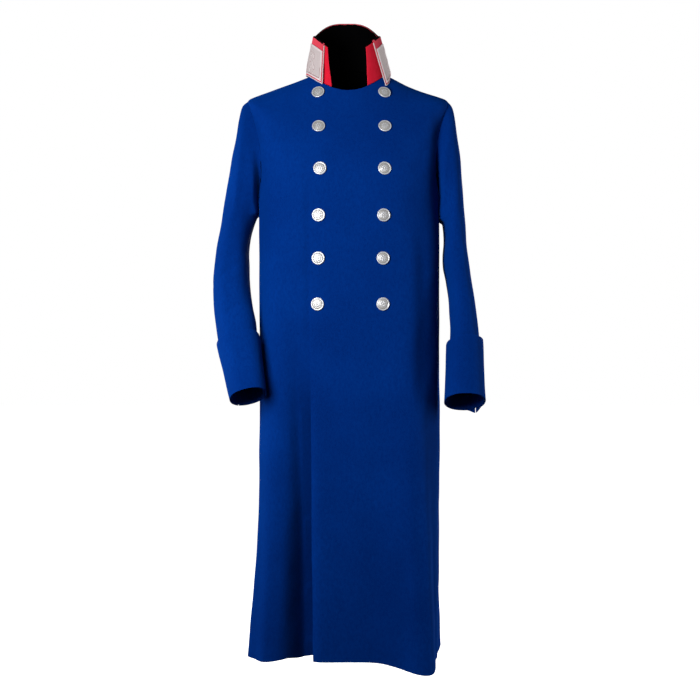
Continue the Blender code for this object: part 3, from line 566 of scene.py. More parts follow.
def grid_faces(rows, columns, shift=0):
    """The four-cornered faces of a grid of points."""
    row, column = np.meshgrid(np.arange(rows - 1), np.arange(columns - 1), indexing="ij")
    first = (row * columns + column + shift).ravel()
    return np.stack([first, first + 1, first + columns + 1, first + columns], axis=1)


def add_mesh(name, vertices, faces, materials, slots=None):
    """One object, shaded smooth, made from points and a list of faces."""
    mesh = bpy.data.meshes.new(name)
    mesh.from_pydata(np.asarray(vertices).tolist(), [], faces)
    for made in materials:
        mesh.materials.append(made)
    if slots is not None:
        mesh.polygons.foreach_set("material_index", np.asarray(slots, np.int32))
    mesh.update()
    mesh.shade_smooth()
    placed = bpy.data.objects.new(name, mesh)
    bpy.context.scene.collection.objects.link(placed)
    return placed


def shell(name, outer, normals, wall, materials, shade_lined=None, edge=EDGE_ROUND, bound=None):
    """A cloth piece with rounded edges, from its outer face. The lining's mask marks the part that
    takes the lining, painted near black as shade, and bound the part whose edge takes it too."""
    rows, columns = outer.shape[:2]
    wall = np.broadcast_to(wall, (rows, columns))
    near = np.clip(1.0 - edge_distance(outer) / edge, 0.0, 1.0)
    drop = (1.0 - np.sqrt(np.clip(1.0 - near ** 2, 0.0, 1.0))) * wall * 0.46
    top = outer - normals * drop[..., None]
    under = outer - normals * (wall - drop)[..., None]
    along = np.diff(outer, axis=1)[:-1]
    up = np.diff(outer, axis=0)[:, :-1]
    turned = float((np.cross(along, up) * normals[:-1, :-1]).sum()) < 0
    front = grid_faces(rows, columns)
    back = grid_faces(rows, columns, rows * columns)[:, ::-1]
    ids = np.arange(rows * columns).reshape(rows, columns)
    ring = np.concatenate([ids[0], ids[1:, -1], ids[-1, -2::-1], ids[-2:0:-1, 0]])
    after = np.roll(ring, -1)
    rim = np.stack([after, ring, ring + rows * columns, after + rows * columns], axis=1)
    faces = np.concatenate([front, back, rim])
    if turned:
        faces = faces[:, ::-1]
    slots = np.zeros(len(faces), np.int32)
    if shade_lined is not None:
        slots[len(front):len(front) + len(back)] = shade_lined[:-1, :-1].ravel()
    if bound is not None:
        slots[len(front) + len(back):] = bound.ravel()[ring]
    points = np.concatenate([top.reshape(-1, 3), under.reshape(-1, 3)])
    return add_mesh(name, points, faces.tolist(), materials, slots)


def dress(node, piece):
    """Tie a made piece to the part's root body, and hide the solid of the node it stands for."""
    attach(piece, "root")
    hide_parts(node)


def new_material(name):
    """A node material and its Principled shader."""
    made = bpy.data.materials.new(name)
    made.use_nodes = True
    return made, made.node_tree, made.node_tree.nodes["Principled BSDF"]


def noise(tree, scale, detail=2.0, stretch=(1.0, 1.0, 1.0)):
    """A noise texture's value in the part's own coordinates."""
    place = tree.nodes.new("ShaderNodeTexCoord")
    fit = tree.nodes.new("ShaderNodeMapping")
    fit.inputs["Scale"].default_value = stretch
    made = tree.nodes.new("ShaderNodeTexNoise")
    made.inputs["Scale"].default_value = scale
    made.inputs["Detail"].default_value = detail
    tree.links.new(place.outputs["Object"], fit.inputs["Vector"])
    tree.links.new(fit.outputs["Vector"], made.inputs["Vector"])
    return made.outputs["Fac"]


def ranged(tree, value, low, high, start=0.3, end=0.7):
    """Map a texture's value from its usual spread to a wanted range."""
    made = tree.nodes.new("ShaderNodeMapRange")
    made.inputs["From Min"].default_value = start
    made.inputs["From Max"].default_value = end
    made.inputs["To Min"].default_value = low
    made.inputs["To Max"].default_value = high
    tree.links.new(value, made.inputs["Value"])
    return made.outputs["Result"]


def blend_colour(tree, factor, first, second):
    """Mix two colours, each a tuple or another node's colour, by a factor."""
    made = tree.nodes.new("ShaderNodeMix")
    made.data_type = "RGBA"
    tree.links.new(factor, made.inputs["Factor"])
    for value, socket in ((first, made.inputs[6]), (second, made.inputs[7])):
        if isinstance(value, tuple):
            socket.default_value = (*value, 1.0)
        else:
            tree.links.new(value, socket)
    return made.outputs[2]


def bump(tree, height, distance, strength, under=None):
    """A bump node of a real height in metres."""
    made = tree.nodes.new("ShaderNodeBump")
    made.inputs["Distance"].default_value = distance
    made.inputs["Strength"].default_value = strength
    tree.links.new(height, made.inputs["Height"])
    if under:
        tree.links.new(under, made.inputs["Normal"])
    return made.outputs["Normal"]


def set_shader(shader, **values):
    for name, value in values.items():
        shader.inputs[name.replace("_", " ")].default_value = value


def wool(name, deep, bright, sheen_tint, sheen, roughness):
    """Fulled wool: short nap lying down the cloth, slight mottling, and a soft sheen."""
    made, tree, shader = new_material(name)
    broad = ranged(tree, noise(tree, 7.0), 0.25, 0.75)
    mottle = noise(tree, 210.0, 3.0, (1.0, 1.0, 0.55))
    nap = noise(tree, 950.0, 3.0, (1.0, 1.0, 0.35))
    cloudy = blend_colour(tree, broad, deep, bright)
    napped = blend_colour(tree, ranged(tree, mottle, 0.0, 0.55), cloudy, deep)
    lit = blend_colour(tree, ranged(tree, nap, 0.0, 0.5), napped, bright)
    tree.links.new(lit, shader.inputs["Base Color"])
    tree.links.new(ranged(tree, nap, roughness - 0.08, roughness + 0.06), shader.inputs["Roughness"])
    rough = bump(tree, mottle, 0.0005, 0.35)
    tree.links.new(bump(tree, nap, 0.0003, 0.5, rough), shader.inputs["Normal"])
    set_shader(shader, Sheen_Weight=sheen, Sheen_Roughness=0.45, Sheen_Tint=(*sheen_tint, 1.0))
    set_shader(shader, Diffuse_Roughness=0.6, Specular_IOR_Level=0.01)
    return made


def lining():
    """Lining with a fine close weave, painted near black as the shade inside the coat and sleeves."""
    made, tree, shader = new_material("shade_black_lining")
    weave = noise(tree, 1400.0, 2.0)
    # Near-black colours, far darker than cloth, as painted shade
    dark, light = (0.0006, 0.0006, 0.0008), (0.0018, 0.0018, 0.0022)
    tone = blend_colour(tree, ranged(tree, weave, 0.0, 1.0), dark, light)
    tree.links.new(tone, shader.inputs["Base Color"])
    tree.links.new(ranged(tree, weave, 0.6, 0.8), shader.inputs["Roughness"])
    tree.links.new(bump(tree, weave, 0.0002, 0.3), shader.inputs["Normal"])
    set_shader(shader, Specular_IOR_Level=0.005)
    return made


def toned(name, steps, roughness, metallic, specular, grain=1600.0, grain_height=0.00015):
    """A material whose colour follows the piece's own relief, kept on its points as tone, as painted
    shade and highlight. steps are the tones and their colours, from the deepest to the highest."""
    made, tree, shader = new_material(name)
    relief = tree.nodes.new("ShaderNodeAttribute")
    relief.attribute_name = "tone"
    ramp = tree.nodes.new("ShaderNodeValToRGB").color_ramp
    while len(ramp.elements) < len(steps):
        ramp.elements.new(0.5)
    for element, (place, colour) in zip(ramp.elements, steps):
        element.position = place
        element.color = (*colour, 1.0)
    ramped = tree.nodes["Color Ramp"]
    tree.links.new(relief.outputs["Fac"], ramped.inputs["Fac"])
    threads = noise(tree, grain, 3.0)
    plain = ramped.outputs["Color"]
    deep = tuple(0.55 * value for value in steps[1][1])
    worn = blend_colour(tree, ranged(tree, threads, 0.0, 0.3), plain, deep)
    tree.links.new(worn, shader.inputs["Base Color"])
    tree.links.new(ranged(tree, threads, roughness - 0.08, roughness + 0.1), shader.inputs["Roughness"])
    tree.links.new(bump(tree, threads, grain_height, 0.4), shader.inputs["Normal"])
    set_shader(shader, Metallic=metallic, Specular_IOR_Level=specular)
    return made


# The lace's tones: dark red for painted shade, grey-silver for its flat work, and bright silver for painted
# highlight on its raised work
LACE_LIGHT_AND_SHADE_TONES = [
    (0.00, (0.300, 0.020, 0.035)),
    (0.28, (0.700, 0.590, 0.590)),
    (0.70, (0.960, 0.890, 0.890)),
    (1.00, (0.980, 0.860, 0.880)),
]
# The cord's tones: darker in the grooves between its plies as painted shade, brighter on their crests as
# painted highlight
CORD_LIGHT_AND_SHADE_TONES = [(0.0, (0.70, 0.48, 0.51)), (0.6, (0.95, 0.80, 0.82))]
# The button's tones: dark beneath it as painted shade, up to bright and bluish on the rim's crest as
# painted highlight
BUTTON_LIGHT_AND_SHADE_TONES = [(0.0, (0.26, 0.25, 0.24)), (0.35, (0.50, 0.48, 0.46)), (0.9, (0.70, 0.73, 0.79))]


def set_tone(piece, values):
    """Keep a number on each point, for the material to read."""
    held = piece.data.attributes.new("tone", "FLOAT", "POINT")
    held.data.foreach_set("value", np.asarray(values, np.float32))


def front_edges(runs):
    """The angles of the two front edges, which are parallel to the middle front."""
    share = (runs - HEM) / (NECK - HEM)
    neck_pull = smooth((runs - SHOULDER) / (NECK - SHOULDER))
    over = mix(mix(OVERLAP_HEM_X, OVERLAP_NECK_X, share), OVERLAP_COLLAR_X, neck_pull)
    under = mix(mix(UNDERLAP_HEM_X, UNDERLAP_NECK_X, share), UNDERLAP_COLLAR_X, neck_pull)
    return angle_at_x(over, runs), angle_at_x(under, runs)


def turned_normals(outer, normals, base):
    """The outward side of the deep trough's own surface, blended into the panel's about it."""
    made = unit(np.cross(np.gradient(outer, axis=1), np.gradient(outer, axis=0)))
    made = made * np.sign((made * normals).sum())
    x = base[..., 0]
    share = smooth((x + 0.140) / 0.020) * smooth((-0.020 - x) / 0.020)
    return unit(mix(normals, made, share[..., None]))


def sink_beside_lap(outer, base, runs):
    """Let the trough of the front beneath run on, deeper still, under the overlapping edge."""
    x = base[..., 0]
    depth = np.where(np.abs(x - TROUGH_X) < TROUGH_SEARCH, outer[..., 1], -1.0)
    lowest = depth.argmax(axis=1)
    rows = np.arange(len(lowest))
    start_x, start_y = x[rows, lowest][:, None], outer[rows, lowest, 1][:, None]
    wanted = start_y + TROUGH_SLOPE * (x - start_x)
    share = smooth((TROUGH_END_X - x) / 0.020) * (x > start_x)
    share = share * smooth((TROUGH_TOP - runs) / 0.16)[:, None]
    outer[..., 1] += np.clip(wanted - outer[..., 1], 0.0, None) * share
    beside = smooth((x + 0.130) / 0.035) * smooth((-0.050 - x) / 0.015)
    outer[..., 2] -= TROUGH_HEM_DROP * beside * smooth((HEM + 0.12 - runs) / 0.12)[:, None]


def lap_lift(points):
    """How far the overlapping front stands off the one beneath it."""
    fade = 1.0 - smooth((points[..., 0] - UNDERLAP_NECK_X - LAP_FADE_START) / LAP_FADE_X)
    return (CLOTH + LAP_GAP) * fade


def body_piece(node, starts, ends, materials, lift=False):
    """A body panel between two lines of angles, with its creases and its lining, painted near black as
    shade.
    """
    runs = body_runs()
    angles = even_columns(body_surface, starts, ends, runs, PANEL_STEP)
    points = body_surface(angles, runs[:, None])
    normals = body_normal(angles, runs[:, None])
    moved = crease_push(points, normals, BODY_CREASES + NODE_CREASES.get(node, []))
    settle = smooth((NECK - SETTLE_START - runs) / 0.05)[:, None]
    waves = soft_waves(points, BODY_WAVE) * settle
    outer = points + moved * settle[..., None] + normals * waves[..., None]
    if lift:
        outer = outer + normals * lap_lift(points)[..., None]
    elif node == "front_right":
        sink_beside_lap(outer, points, runs)
        normals = turned_normals(outer, normals, points)
    hem_turn = smooth((HEM + HEM_TURN - runs) / 0.006)[:, None]
    wall = np.broadcast_to(CLOTH + HEM_EXTRA * hem_turn, points.shape[:2])
    # Inside, away from the hem and the front edges, the lining is painted near black as shade
    shade_lined = np.broadcast_to((runs > HEM + LINING_FROM_HEM)[:, None], points.shape[:2]).copy()
    shade_lined &= np.abs(points[..., 0]) > (LINING_FROM_MIDDLE if node.startswith("front") else -1.0)
    bound = shade_lined & (runs > NECK - TINY)[:, None]
    return shell(f"{node}_cloth", outer, normals, wall, materials, shade_lined, bound=bound)


def make_body(blue, black):
    """The two fronts, which lap at the middle, and the two backs."""
    runs = body_runs()
    over, under = front_edges(runs)
    front_side = 90.0 - ARMHOLE_FRONT_ANGLE * armhole_reach(runs)
    back_side = 90.0 + ARMHOLE_BACK_ANGLE * armhole_reach(runs)
    middle_back = np.full(len(runs), 180.0)
    lines = {
        "front_left": (over, front_side, True),
        "front_right": (-front_side, under, False),
        "back_left": (back_side, middle_back, False),
        "back_right": (-middle_back, -back_side, False),
    }
    for node, (starts, ends, lift) in lines.items():
        piece = body_piece(node, starts, ends, [blue, black], lift)
        dress(node, piece)


def plain_sleeve_surface(arm, turn, run):
    """A sleeve's section as a rounded outline, before it is fitted to the armhole."""
    rows = LEFT_ARM if arm == "left" else RIGHT_ARM
    at = {name: read_rows(rows, run, name) for name in Section._fields[1:]}
    outer = np.stack([at["outer_x"], at["y"], at["outer_z"]], axis=-1)
    inner = np.stack([at["inner_x"], at["y"], at["inner_z"]], axis=-1)
    tip = np.radians(at["tip"])
    forward = np.stack([np.zeros_like(tip), -np.cos(tip), np.sin(tip)], axis=-1)
    forward = forward * at["depth"][..., None]
    across = rounded(np.cos(np.radians(turn)), SLEEVE_SQUARENESS)[..., None]
    ahead = rounded(np.sin(np.radians(turn)), SLEEVE_SQUARENESS)[..., None]
    return (outer + inner) / 2 + (outer - inner) / 2 * across + forward * ahead


def sleeve_surface(arm):
    """The surface and outward side of one sleeve, which is fitted to the armhole at its head."""
    side = SIDE[arm]

    def surface(turn, run):
        turn, run = np.broadcast_arrays(np.asarray(turn, float), np.asarray(run, float))
        point = plain_sleeve_surface(arm, turn, run)
        start = np.zeros_like(run)
        edge, out = armhole_edge(side, turn)
        hole = plain_sleeve_surface(arm, start, start) + plain_sleeve_surface(arm, start + 180, start)
        seat = edge + (out + unit(hole / 2 - edge)) * ARMHOLE_CLEARANCE
        share = np.clip(1.0 - np.maximum(run, 0.0) / ARMHOLE_FADE, 0.0, 1.0) ** 2
        return point + (seat - plain_sleeve_surface(arm, turn, start)) * share[..., None]

    def normal(turn, run):
        run = np.clip(run, TINY, SLEEVE_END - TINY)
        return surface_normal(surface, turn, run, 1.0, TINY) * side

    return surface, normal


def sleeve_relief(arm, points, normals, turn, run):
    """Creases and waves of a sleeve, gone under the cuff. At its head they are the body's own."""
    bare = smooth((CUFF_TOP - 0.006 - run) / 0.035) * smooth((run - 0.004) / 0.030)
    push = crease_push(points, normals, SLEEVE_CREASES[arm])
    waves = soft_waves(points * 1.25, SLEEVE_WAVE)
    down = np.clip((turn - UNDERARM_START[arm]) / (150.0 - UNDERARM_START[arm]), 0.0, 1.0)
    reach = UNDERARM_FLOOR + UNDERARM_REACH * (0.15 + 0.85 * down)
    groove = UNDERARM_DEPTH * smooth(down / 0.7) * smooth((UNDERARM_END - turn) / 24.0)
    groove = groove * smooth(run / UNDERARM_FLOOR) * (1.0 - smooth((run - UNDERARM_FLOOR) / reach))
    side = SIDE[arm]
    wall = ARMPIT_RING.middle_x + side * (ARMPIT_RING.half_width + TUCK_GAP)
    gap = (points[..., 0] - wall) * side
    near = smooth((points[..., 2] - TUCK_END[arm]) / 0.008) * smooth((run - 0.002) / 0.010)
    near = near * smooth((turn - 128.0) / 30.0) * smooth((235.0 - turn) / 25.0)
    seat, out = armhole_edge(side, turn)
    body = crease_push(seat, out, BODY_CREASES) + out * soft_waves(seat, BODY_WAVE)[..., None]
    moved = (push + normals * waves[..., None]) * bare[..., None]
    moved = moved + body * (1.0 - smooth(run / 0.030))[..., None]
    moved[..., 0] -= np.clip(gap, 0.0, 0.016) * near * side
    moved[..., 1] += groove
    return moved


def make_sleeves(blue, black):
    """Each sleeve has an upper and an under piece, with a forearm and a hind-arm seam."""
    for arm in ("left", "right"):
        surface, normal = sleeve_surface(arm)
        runs = close_ended(CLOSE_STEPS, SLEEVE_END, round(SLEEVE_END / SLEEVE_STEP))
        for part, start, end in (
            ("upper", HINDARM_SEAM - 360.0, FOREARM_SEAM),
            ("under", FOREARM_SEAM, HINDARM_SEAM),
        ):
            starts, ends = np.full(len(runs), start), np.full(len(runs), end)
            turns = even_columns(surface, starts, ends, runs, SLEEVE_STEP)
            points = surface(turns, runs[:, None])
            normals = normal(turns, runs[:, None])
            run = np.broadcast_to(runs[:, None], turns.shape)
            outer = points + sleeve_relief(arm, points, normals, turns, run)
            # Inside the sleeve, short of the cuff, the lining is painted near black as shade
            shade_lined = run < SLEEVE_END - LINING_FROM_CUFF
            node = f"sleeve_{part}_{arm}"
            piece = shell(f"{node}_cloth", outer, normals, CLOTH, [blue, black], shade_lined)
            dress(node, piece)


def make_cuffs(blue, black):
    """Turned-back cuffs round the sleeve ends, open at the hind-arm seam."""
    for arm in ("left", "right"):
        surface, normal = sleeve_surface(arm)
        length = SLEEVE_END - CUFF_TOP
        shares = close_ended(CLOSE_STEPS / length, 1, 26)
        runs = mix(CUFF_TOP, SLEEVE_END, shares)
        starts = np.full(len(runs), HINDARM_SEAM - 360.0 + CUFF_SLIT)
        ends = np.full(len(runs), HINDARM_SEAM - CUFF_SLIT)
        turns = even_columns(surface, starts, ends, runs, 0.0036)
        run, share = runs[:, None], shares[:, None]
        out = normal(turns, run)
        down = unit(surface(turns, run) - surface(turns, run - 0.02))
        stand = mix(CUFF_STAND_TOP[arm], CUFF_STAND_END, share)
        away = (turns - HINDARM_SEAM + 180.0) % 360.0 - 180.0
        corner = CUFF_CORNER_DROP[arm] * smooth(1.0 - np.abs(away) / CUFF_CORNER_SPREAD)
        spill = down * ((CUFF_SPILL + corner) * smooth(share))[..., None]
        points = surface(turns, run) + out * stand[..., None] + spill
        bend = 0.0010 * np.sin(np.radians(turns) * 2.0 + 0.7) * smooth(1.0 - share)
        outer = points + out * (bend + soft_waves(points * 1.6, 0.0004))[..., None]
        piece = shell(f"cuff_{arm}_cloth", outer, out, CLOTH, [blue, blue], edge=FREE_EDGE_ROUND)
        dress(f"cuff_{arm}", piece)


def collar_ring(ring, angle, grow=0.0):
    """Points on one of the collar's rings, moved out from the neck by grow."""
    sine, cosine = np.sin(np.radians(angle)), np.cos(np.radians(angle))
    depth = np.where(cosine > 0, ring.front_depth, ring.back_depth)
    end = np.where(cosine > 0, ring.front, ring.back)
    crown = np.where(cosine > 0, 2.0, ring.crown)
    x = ring.middle_x + (ring.half_width + grow) * sine
    y = -(depth + grow) * cosine
    return np.stack([x, y, mix(end, ring.side, np.abs(sine) ** crown)], axis=-1)


def stand_surface(angle, share, depth=0.0):
    """The stand's outer face from the neck seam (0) to the fold line (1)."""
    foot = collar_ring(NECK_RING, angle, -depth) + UP * COLLAR_SEAM_LIFT
    top = collar_ring(FOLD_RING, angle, -depth) - UP * (CLOTH + CREST_GAP)
    return mix(foot, top, np.asarray(share)[..., None])


def fall_surface(angle, share, depth=0.0):
    """The fall's outer face, over the crest of the fold and down to the lower edge."""
    angle, share = np.broadcast_arrays(np.asarray(angle, float), np.asarray(share, float))
    radius = CREST_RADIUS - depth
    out = np.stack([np.sin(np.radians(angle)), -np.cos(np.radians(angle)), 0 * angle], axis=-1)
    centre = collar_ring(FOLD_RING, angle) - UP * CREST_RADIUS
    lean = np.radians(mix(CREST_START, 90.0, np.clip(share / CREST_SHARE, 0.0, 1.0)))[..., None]
    crest = centre + radius * (out * np.sin(lean) + UP * np.cos(lean))
    down = np.clip((share - CREST_SHARE) / (1.0 - CREST_SHARE), 0.0, 1.0)[..., None]
    tip = smooth(1.0 - (angle - FALL_END_EDGE["left"]) / TIP_SPREAD)
    end = collar_ring(FALL_RING, angle, TIP_REACH * tip - depth) - UP * (TIP_DROP * tip)[..., None]
    return np.where(share[..., None] <= CREST_SHARE, crest, mix(centre + out * radius, end, down))


def end_angles(at_neck, at_top, share):
    """The collar's two front ends at a share of its height, going round by the back."""
    left = mix(at_neck["left"], at_top["left"], share)
    right = 360.0 - mix(at_neck["right"], at_top["right"], share)
    return left, right


def collar_grid(surface, shares, ends, trim=0.0):
    """Angles and outward sides for a collar piece on even columns."""
    left, right = end_angles(*ends, shares)
    angles = even_columns(surface, left + trim, right - trim, shares, COLLAR_STEP)
    share = np.broadcast_to(shares[:, None], angles.shape)
    sides = surface_normal(surface, angles, np.clip(share, 0.004, 0.996), 0.4, 0.004)
    away = surface(angles, share) * np.array([1.0, 1.0, 0.0])
    sides = sides * np.where((sides * away).sum(-1, keepdims=True) < 0, -1.0, 1.0)
    return angles, share, sides


def make_collar(red, satin, black):
    """The stand, the fall folded over it, and the lining inside the stand, painted near black as shade."""
    close = CLOSE_STEPS / COLLAR_HEIGHT
    shares = close_ended(close, 1, 30)
    stand_ends = (STAND_END_NECK, STAND_END_FOLD)
    angles, share, sides = collar_grid(stand_surface, shares, stand_ends)
    ripple = 0.0006 * np.sin(share * 7.0 + np.radians(angles) * 5.0) * smooth(share / 0.2)
    ripple = ripple * smooth((1 - share) / 0.25)
    outer = stand_surface(angles, share) + sides * ripple[..., None]
    # Behind the neck, the stand's inner face and edge take the lining, painted near black as shade
    behind = (angles > STAND_END_FOLD["left"] + 4.0) & (angles < 356.0 - STAND_END_FOLD["right"])
    piece = shell("collar_stand_cloth", outer, sides, CLOTH, [satin, black], behind, bound=behind)
    dress("collar_stand", piece)

    def inside(angle, height_share):
        return stand_surface(angle, height_share, CLOTH + SEAM)

    angles, share, sides = collar_grid(inside, shares, stand_ends, 1.2)
    piece = shell("collar_lining_cloth", inside(angles, share), sides, LINING, [black], edge=0.0006)
    dress("collar_lining", piece)

    crest = np.linspace(0.0, CREST_SHARE, 12)
    rest = np.linspace(CREST_SHARE, 1.0 - close[-1], 30)[1:]
    shares = np.concatenate([crest, rest, 1 - close[-2::-1]])
    angles, share, _ = collar_grid(fall_surface, shares, (FALL_END_FOLD, FALL_END_EDGE))
    outer = fall_surface(angles, share)
    sides = unit(outer - fall_surface(angles, share, CLOTH))
    roll = 0.0008 * np.sin(np.radians(angles) * 6.0 + 1.0) * smooth((share - 0.3) / 0.3)
    lace_free = smooth((np.abs(angles - 180.0) - 95.0) / -20.0)
    outer = outer + sides * (roll * lace_free)[..., None]
    piece = shell("collar_fall_cloth", outer, sides, CLOTH, [red, black])
    # The fall's inner face at the crest and at the back takes the lining, painted near black as shade
    bound = (share < CREST_BINDING) & (angles > FALL_END_FOLD["left"] + 2.0)
    bound &= angles < 358.0 - FALL_END_FOLD["right"]
    slots = np.zeros(len(piece.data.polygons), np.int32)
    faces = (share.shape[0] - 1) * (share.shape[1] - 1)
    slots[:faces] = bound[:-1, :-1].ravel()
    under = (angles > 75.0) & (angles < 285.0)
    slots[faces:2 * faces] = (bound | under)[:-1, :-1].ravel()
    piece.data.polygons.foreach_set("material_index", slots)
    dress("collar_fall", piece)


def leaf_scroll(across, down):
    """The lace's relief from 0 to 1: a waving stem with leaves and curled tendrils between two
    plain borders. across and down are distances in metres from the patch's middle line and top."""
    pitch = 0.0240
    phase = down / pitch * 2 * math.pi
    stem_place = 0.0055 * np.sin(phase)
    relief = np.exp(-((across - stem_place) / 0.0011) ** 2)
    for half in (0, 1):
        centre = (np.floor(down / pitch - 0.25 - half / 2) + 0.75 + half / 2) * pitch
        side = -1.0 if half else 1.0
        x = (across - side * 0.0035) * side
        y = down - centre + 0.006
        leaf = np.abs(x - 0.0042) / 0.0028
        body = np.exp(-(leaf ** 2 + (y / 0.0052) ** 2) ** 2)
        vein = 0.45 * np.exp(-((x - 0.0042) / 0.0004) ** 2)
        relief = np.maximum(relief, body * (1.0 - vein))
        ring = np.hypot(x + 0.0065, y - 0.0035)
        relief = np.maximum(relief, 0.85 * np.exp(-((ring - 0.0026) / 0.0007) ** 2))
        relief = np.maximum(relief, np.exp(-(ring / 0.0011) ** 2))
    return relief


def make_lace(silver):
    """A patch of silver lace on each end of the fall, with raised leaves and borders."""
    for arm in ("left", "right"):
        down = np.linspace(0, 1, LACE_ROWS)[:, None]
        share = mix(LACE_TOP, LACE_EDGE, down)
        front = mix(FALL_END_FOLD[arm], FALL_END_EDGE[arm], share) + LACE_START
        turn = front + mix(LACE_BACK_TOP, LACE_BACK_EDGE, down) * np.linspace(0, 1, LACE_COLUMNS)
        angles = turn if arm == "left" else 360.0 - turn
        share = np.broadcast_to(share, angles.shape)
        base = fall_surface(angles, share)
        sides = -surface_normal(fall_surface, angles, share, 0.5, 0.01)
        width = np.linalg.norm(np.diff(base, axis=1), axis=2)
        width = np.concatenate([np.zeros((LACE_ROWS, 1)), np.cumsum(width, axis=1)], axis=1)
        height = np.linalg.norm(np.diff(base, axis=0), axis=2)
        height = np.concatenate([np.zeros((1, LACE_COLUMNS)), np.cumsum(height, axis=0)])
        total, drop = width[:, -1:], height[-1:]
        edge = np.minimum(np.minimum(width, total - width), np.minimum(height, drop - height))
        border = np.maximum(
            np.exp(-((edge - 0.0017) / 0.0008) ** 2), 0.8 * np.exp(-((edge - 0.0040) / 0.0006) ** 2)
        )
        pattern = leaf_scroll((width - total / 2) * 0.9, height) * smooth((edge - 0.0045) / 0.0015)
        relief = np.maximum(border, pattern)
        threads = 0.12 * np.sin(width * 2 * math.pi / 0.0013) * np.sin(height * 2 * math.pi / 0.0013)
        lift = TINY + LACE_WALL + LACE_RELIEF * (relief + threads - 0.35)
        outer = base + sides * lift[..., None]
        piece = shell(f"collar_lace_{arm}_metal", outer, sides, LACE_WALL, [silver], edge=0.0006)
        # The tone paints the feet of the raised leaves and a gap inside the border's lower half dark red,
        # as shade, and the raised work and thread crests brighter, as highlight
        outline = np.exp(-((pattern - 0.22) / 0.13) ** 2) * (edge > 0.0062)
        rib = smooth((0.0040 - edge) / 0.0008)
        border_gap_shade = np.exp(-((edge - 0.0050) / 0.0006) ** 2) * smooth((height / drop - 0.45) / 0.2)
        tone = 0.42 + 0.26 * pattern + 0.6 * threads - 0.55 * outline - 0.6 * border_gap_shade
        tone = np.clip(np.maximum(tone, rib), 0.0, 1.0).ravel()
        set_tone(piece, np.concatenate([tone, tone]))
        dress(f"collar_lace_{arm}", piece)


def piping_path():
    """The middle line of the piping: down one front end, round the lower edge, up the other."""
    middle = CLOTH / 2
    off = PIPING_GAP + PIPING_RADIUS

    def edge_point(angle, share, step, down):
        edge = fall_surface(angle, share, middle)
        ahead = unit(edge - fall_surface(angle + step, share, middle)) if step else np.zeros(3)
        below = unit(edge - fall_surface(angle, share - 0.05, middle)) if down else np.zeros(3)
        return edge + (ahead + below) * off

    shares = np.linspace(CREST_SHARE, 1.0, 24)
    fronts = {"left": [], "right": []}
    for share in shares:
        left, right = end_angles(FALL_END_FOLD, FALL_END_EDGE, share)
        fronts["left"].append(edge_point(left, share, 1.0, share == 1.0))
        fronts["right"].append(edge_point(right, share, -1.0, share == 1.0))
    left, right = end_angles(FALL_END_FOLD, FALL_END_EDGE, 1.0)
    lower = [edge_point(angle, 1.0, 0.0, True) for angle in np.linspace(left, right, 120)[1:-1]]
    path = np.array(fronts["left"] + lower + fronts["right"][::-1])
    lengths = np.linalg.norm(np.diff(path, axis=0), axis=1)
    along = np.concatenate([[0.0], np.cumsum(lengths)])
    wanted = np.linspace(0.0, along[-1], int(along[-1] / PIPING_STEP))
    return np.stack([np.interp(wanted, along, path[:, axis]) for axis in range(3)], axis=1), wanted


def make_piping(white):
    """A twisted two-ply cord sewn along the fall's free edges."""
    path, along = piping_path()
    tangent = unit(np.gradient(path, axis=0))
    guide = np.array([0.3, -0.5, 0.8])
    first, frames = None, []
    for direction in tangent:
        guide = guide if first is None else first
        first = guide - direction * guide.dot(direction)
        first = first / np.linalg.norm(first)
        frames.append((first, np.cross(direction, first)))
    frames = np.array(frames)
    turn = np.linspace(0, 2 * math.pi, PIPING_SIDES, endpoint=False)[None, :]
    twist = turn - (along / PIPING_LAY * 2 * math.pi)[:, None]
    radius = PIPING_RADIUS * (0.86 + 0.14 * np.abs(np.cos(twist)))
    ends = np.minimum(along, along[-1] - along)[:, None]
    radius = radius * np.sqrt(np.clip(ends / PIPING_RADIUS, 0.02, 1.0))
    points = path[:, None] + radius[..., None] * (
        frames[:, None, 0] * np.cos(turn)[..., None] + frames[:, None, 1] * np.sin(turn)[..., None]
    )
    rows = len(path)
    ids = np.arange(rows * PIPING_SIDES).reshape(rows, PIPING_SIDES)
    near, far = ids[:-1], ids[1:]
    sides = np.stack([near, np.roll(near, -1, 1), np.roll(far, -1, 1), far], axis=-1).reshape(-1, 4)
    faces = sides.tolist() + [ids[0][::-1].tolist(), ids[-1].tolist()]
    piece = add_mesh("collar_piping_cord", points.reshape(-1, 3), faces, [white])
    # The tone paints each ply's crest brighter and the grooves between the plies darker, as highlight and
    # shade
    set_tone(piece, np.abs(np.cos(twist)).ravel())
    dress("collar_piping", piece)


def make_facing(black):
    """The facing inside the back of the neck, below the collar, painted near black as shade."""
    runs = np.linspace(NECK - FACING_DEPTH, NECK - TINY, 24)
    starts, ends = np.full(24, FACING_START), np.full(24, 360.0 - FACING_START)
    angles = even_columns(body_surface, starts, ends, runs, 0.006)
    normals = body_normal(angles, runs[:, None])
    outer = body_surface(angles, runs[:, None]) - normals * (CLOTH + FACING_GAP)
    piece = shell("neck_facing_cloth", outer, normals, LINING, [black], edge=0.0006)
    dress("neck_facing", piece)


def button_seat(wanted_x, wanted_z):
    """The place and outward side of the front at a wanted place across and height."""
    low, high = HEM, NECK
    for _ in range(30):
        run = (low + high) / 2
        angle = angle_at_x(wanted_x, np.array(run))
        if body_surface(angle, run)[2] < wanted_z:
            low = run
        else:
            high = run
    point, out = body_surface(angle, run), body_normal(angle, np.array(run))
    return Vector(point + out * (float(lap_lift(point)) + SEAM)), Vector(out)


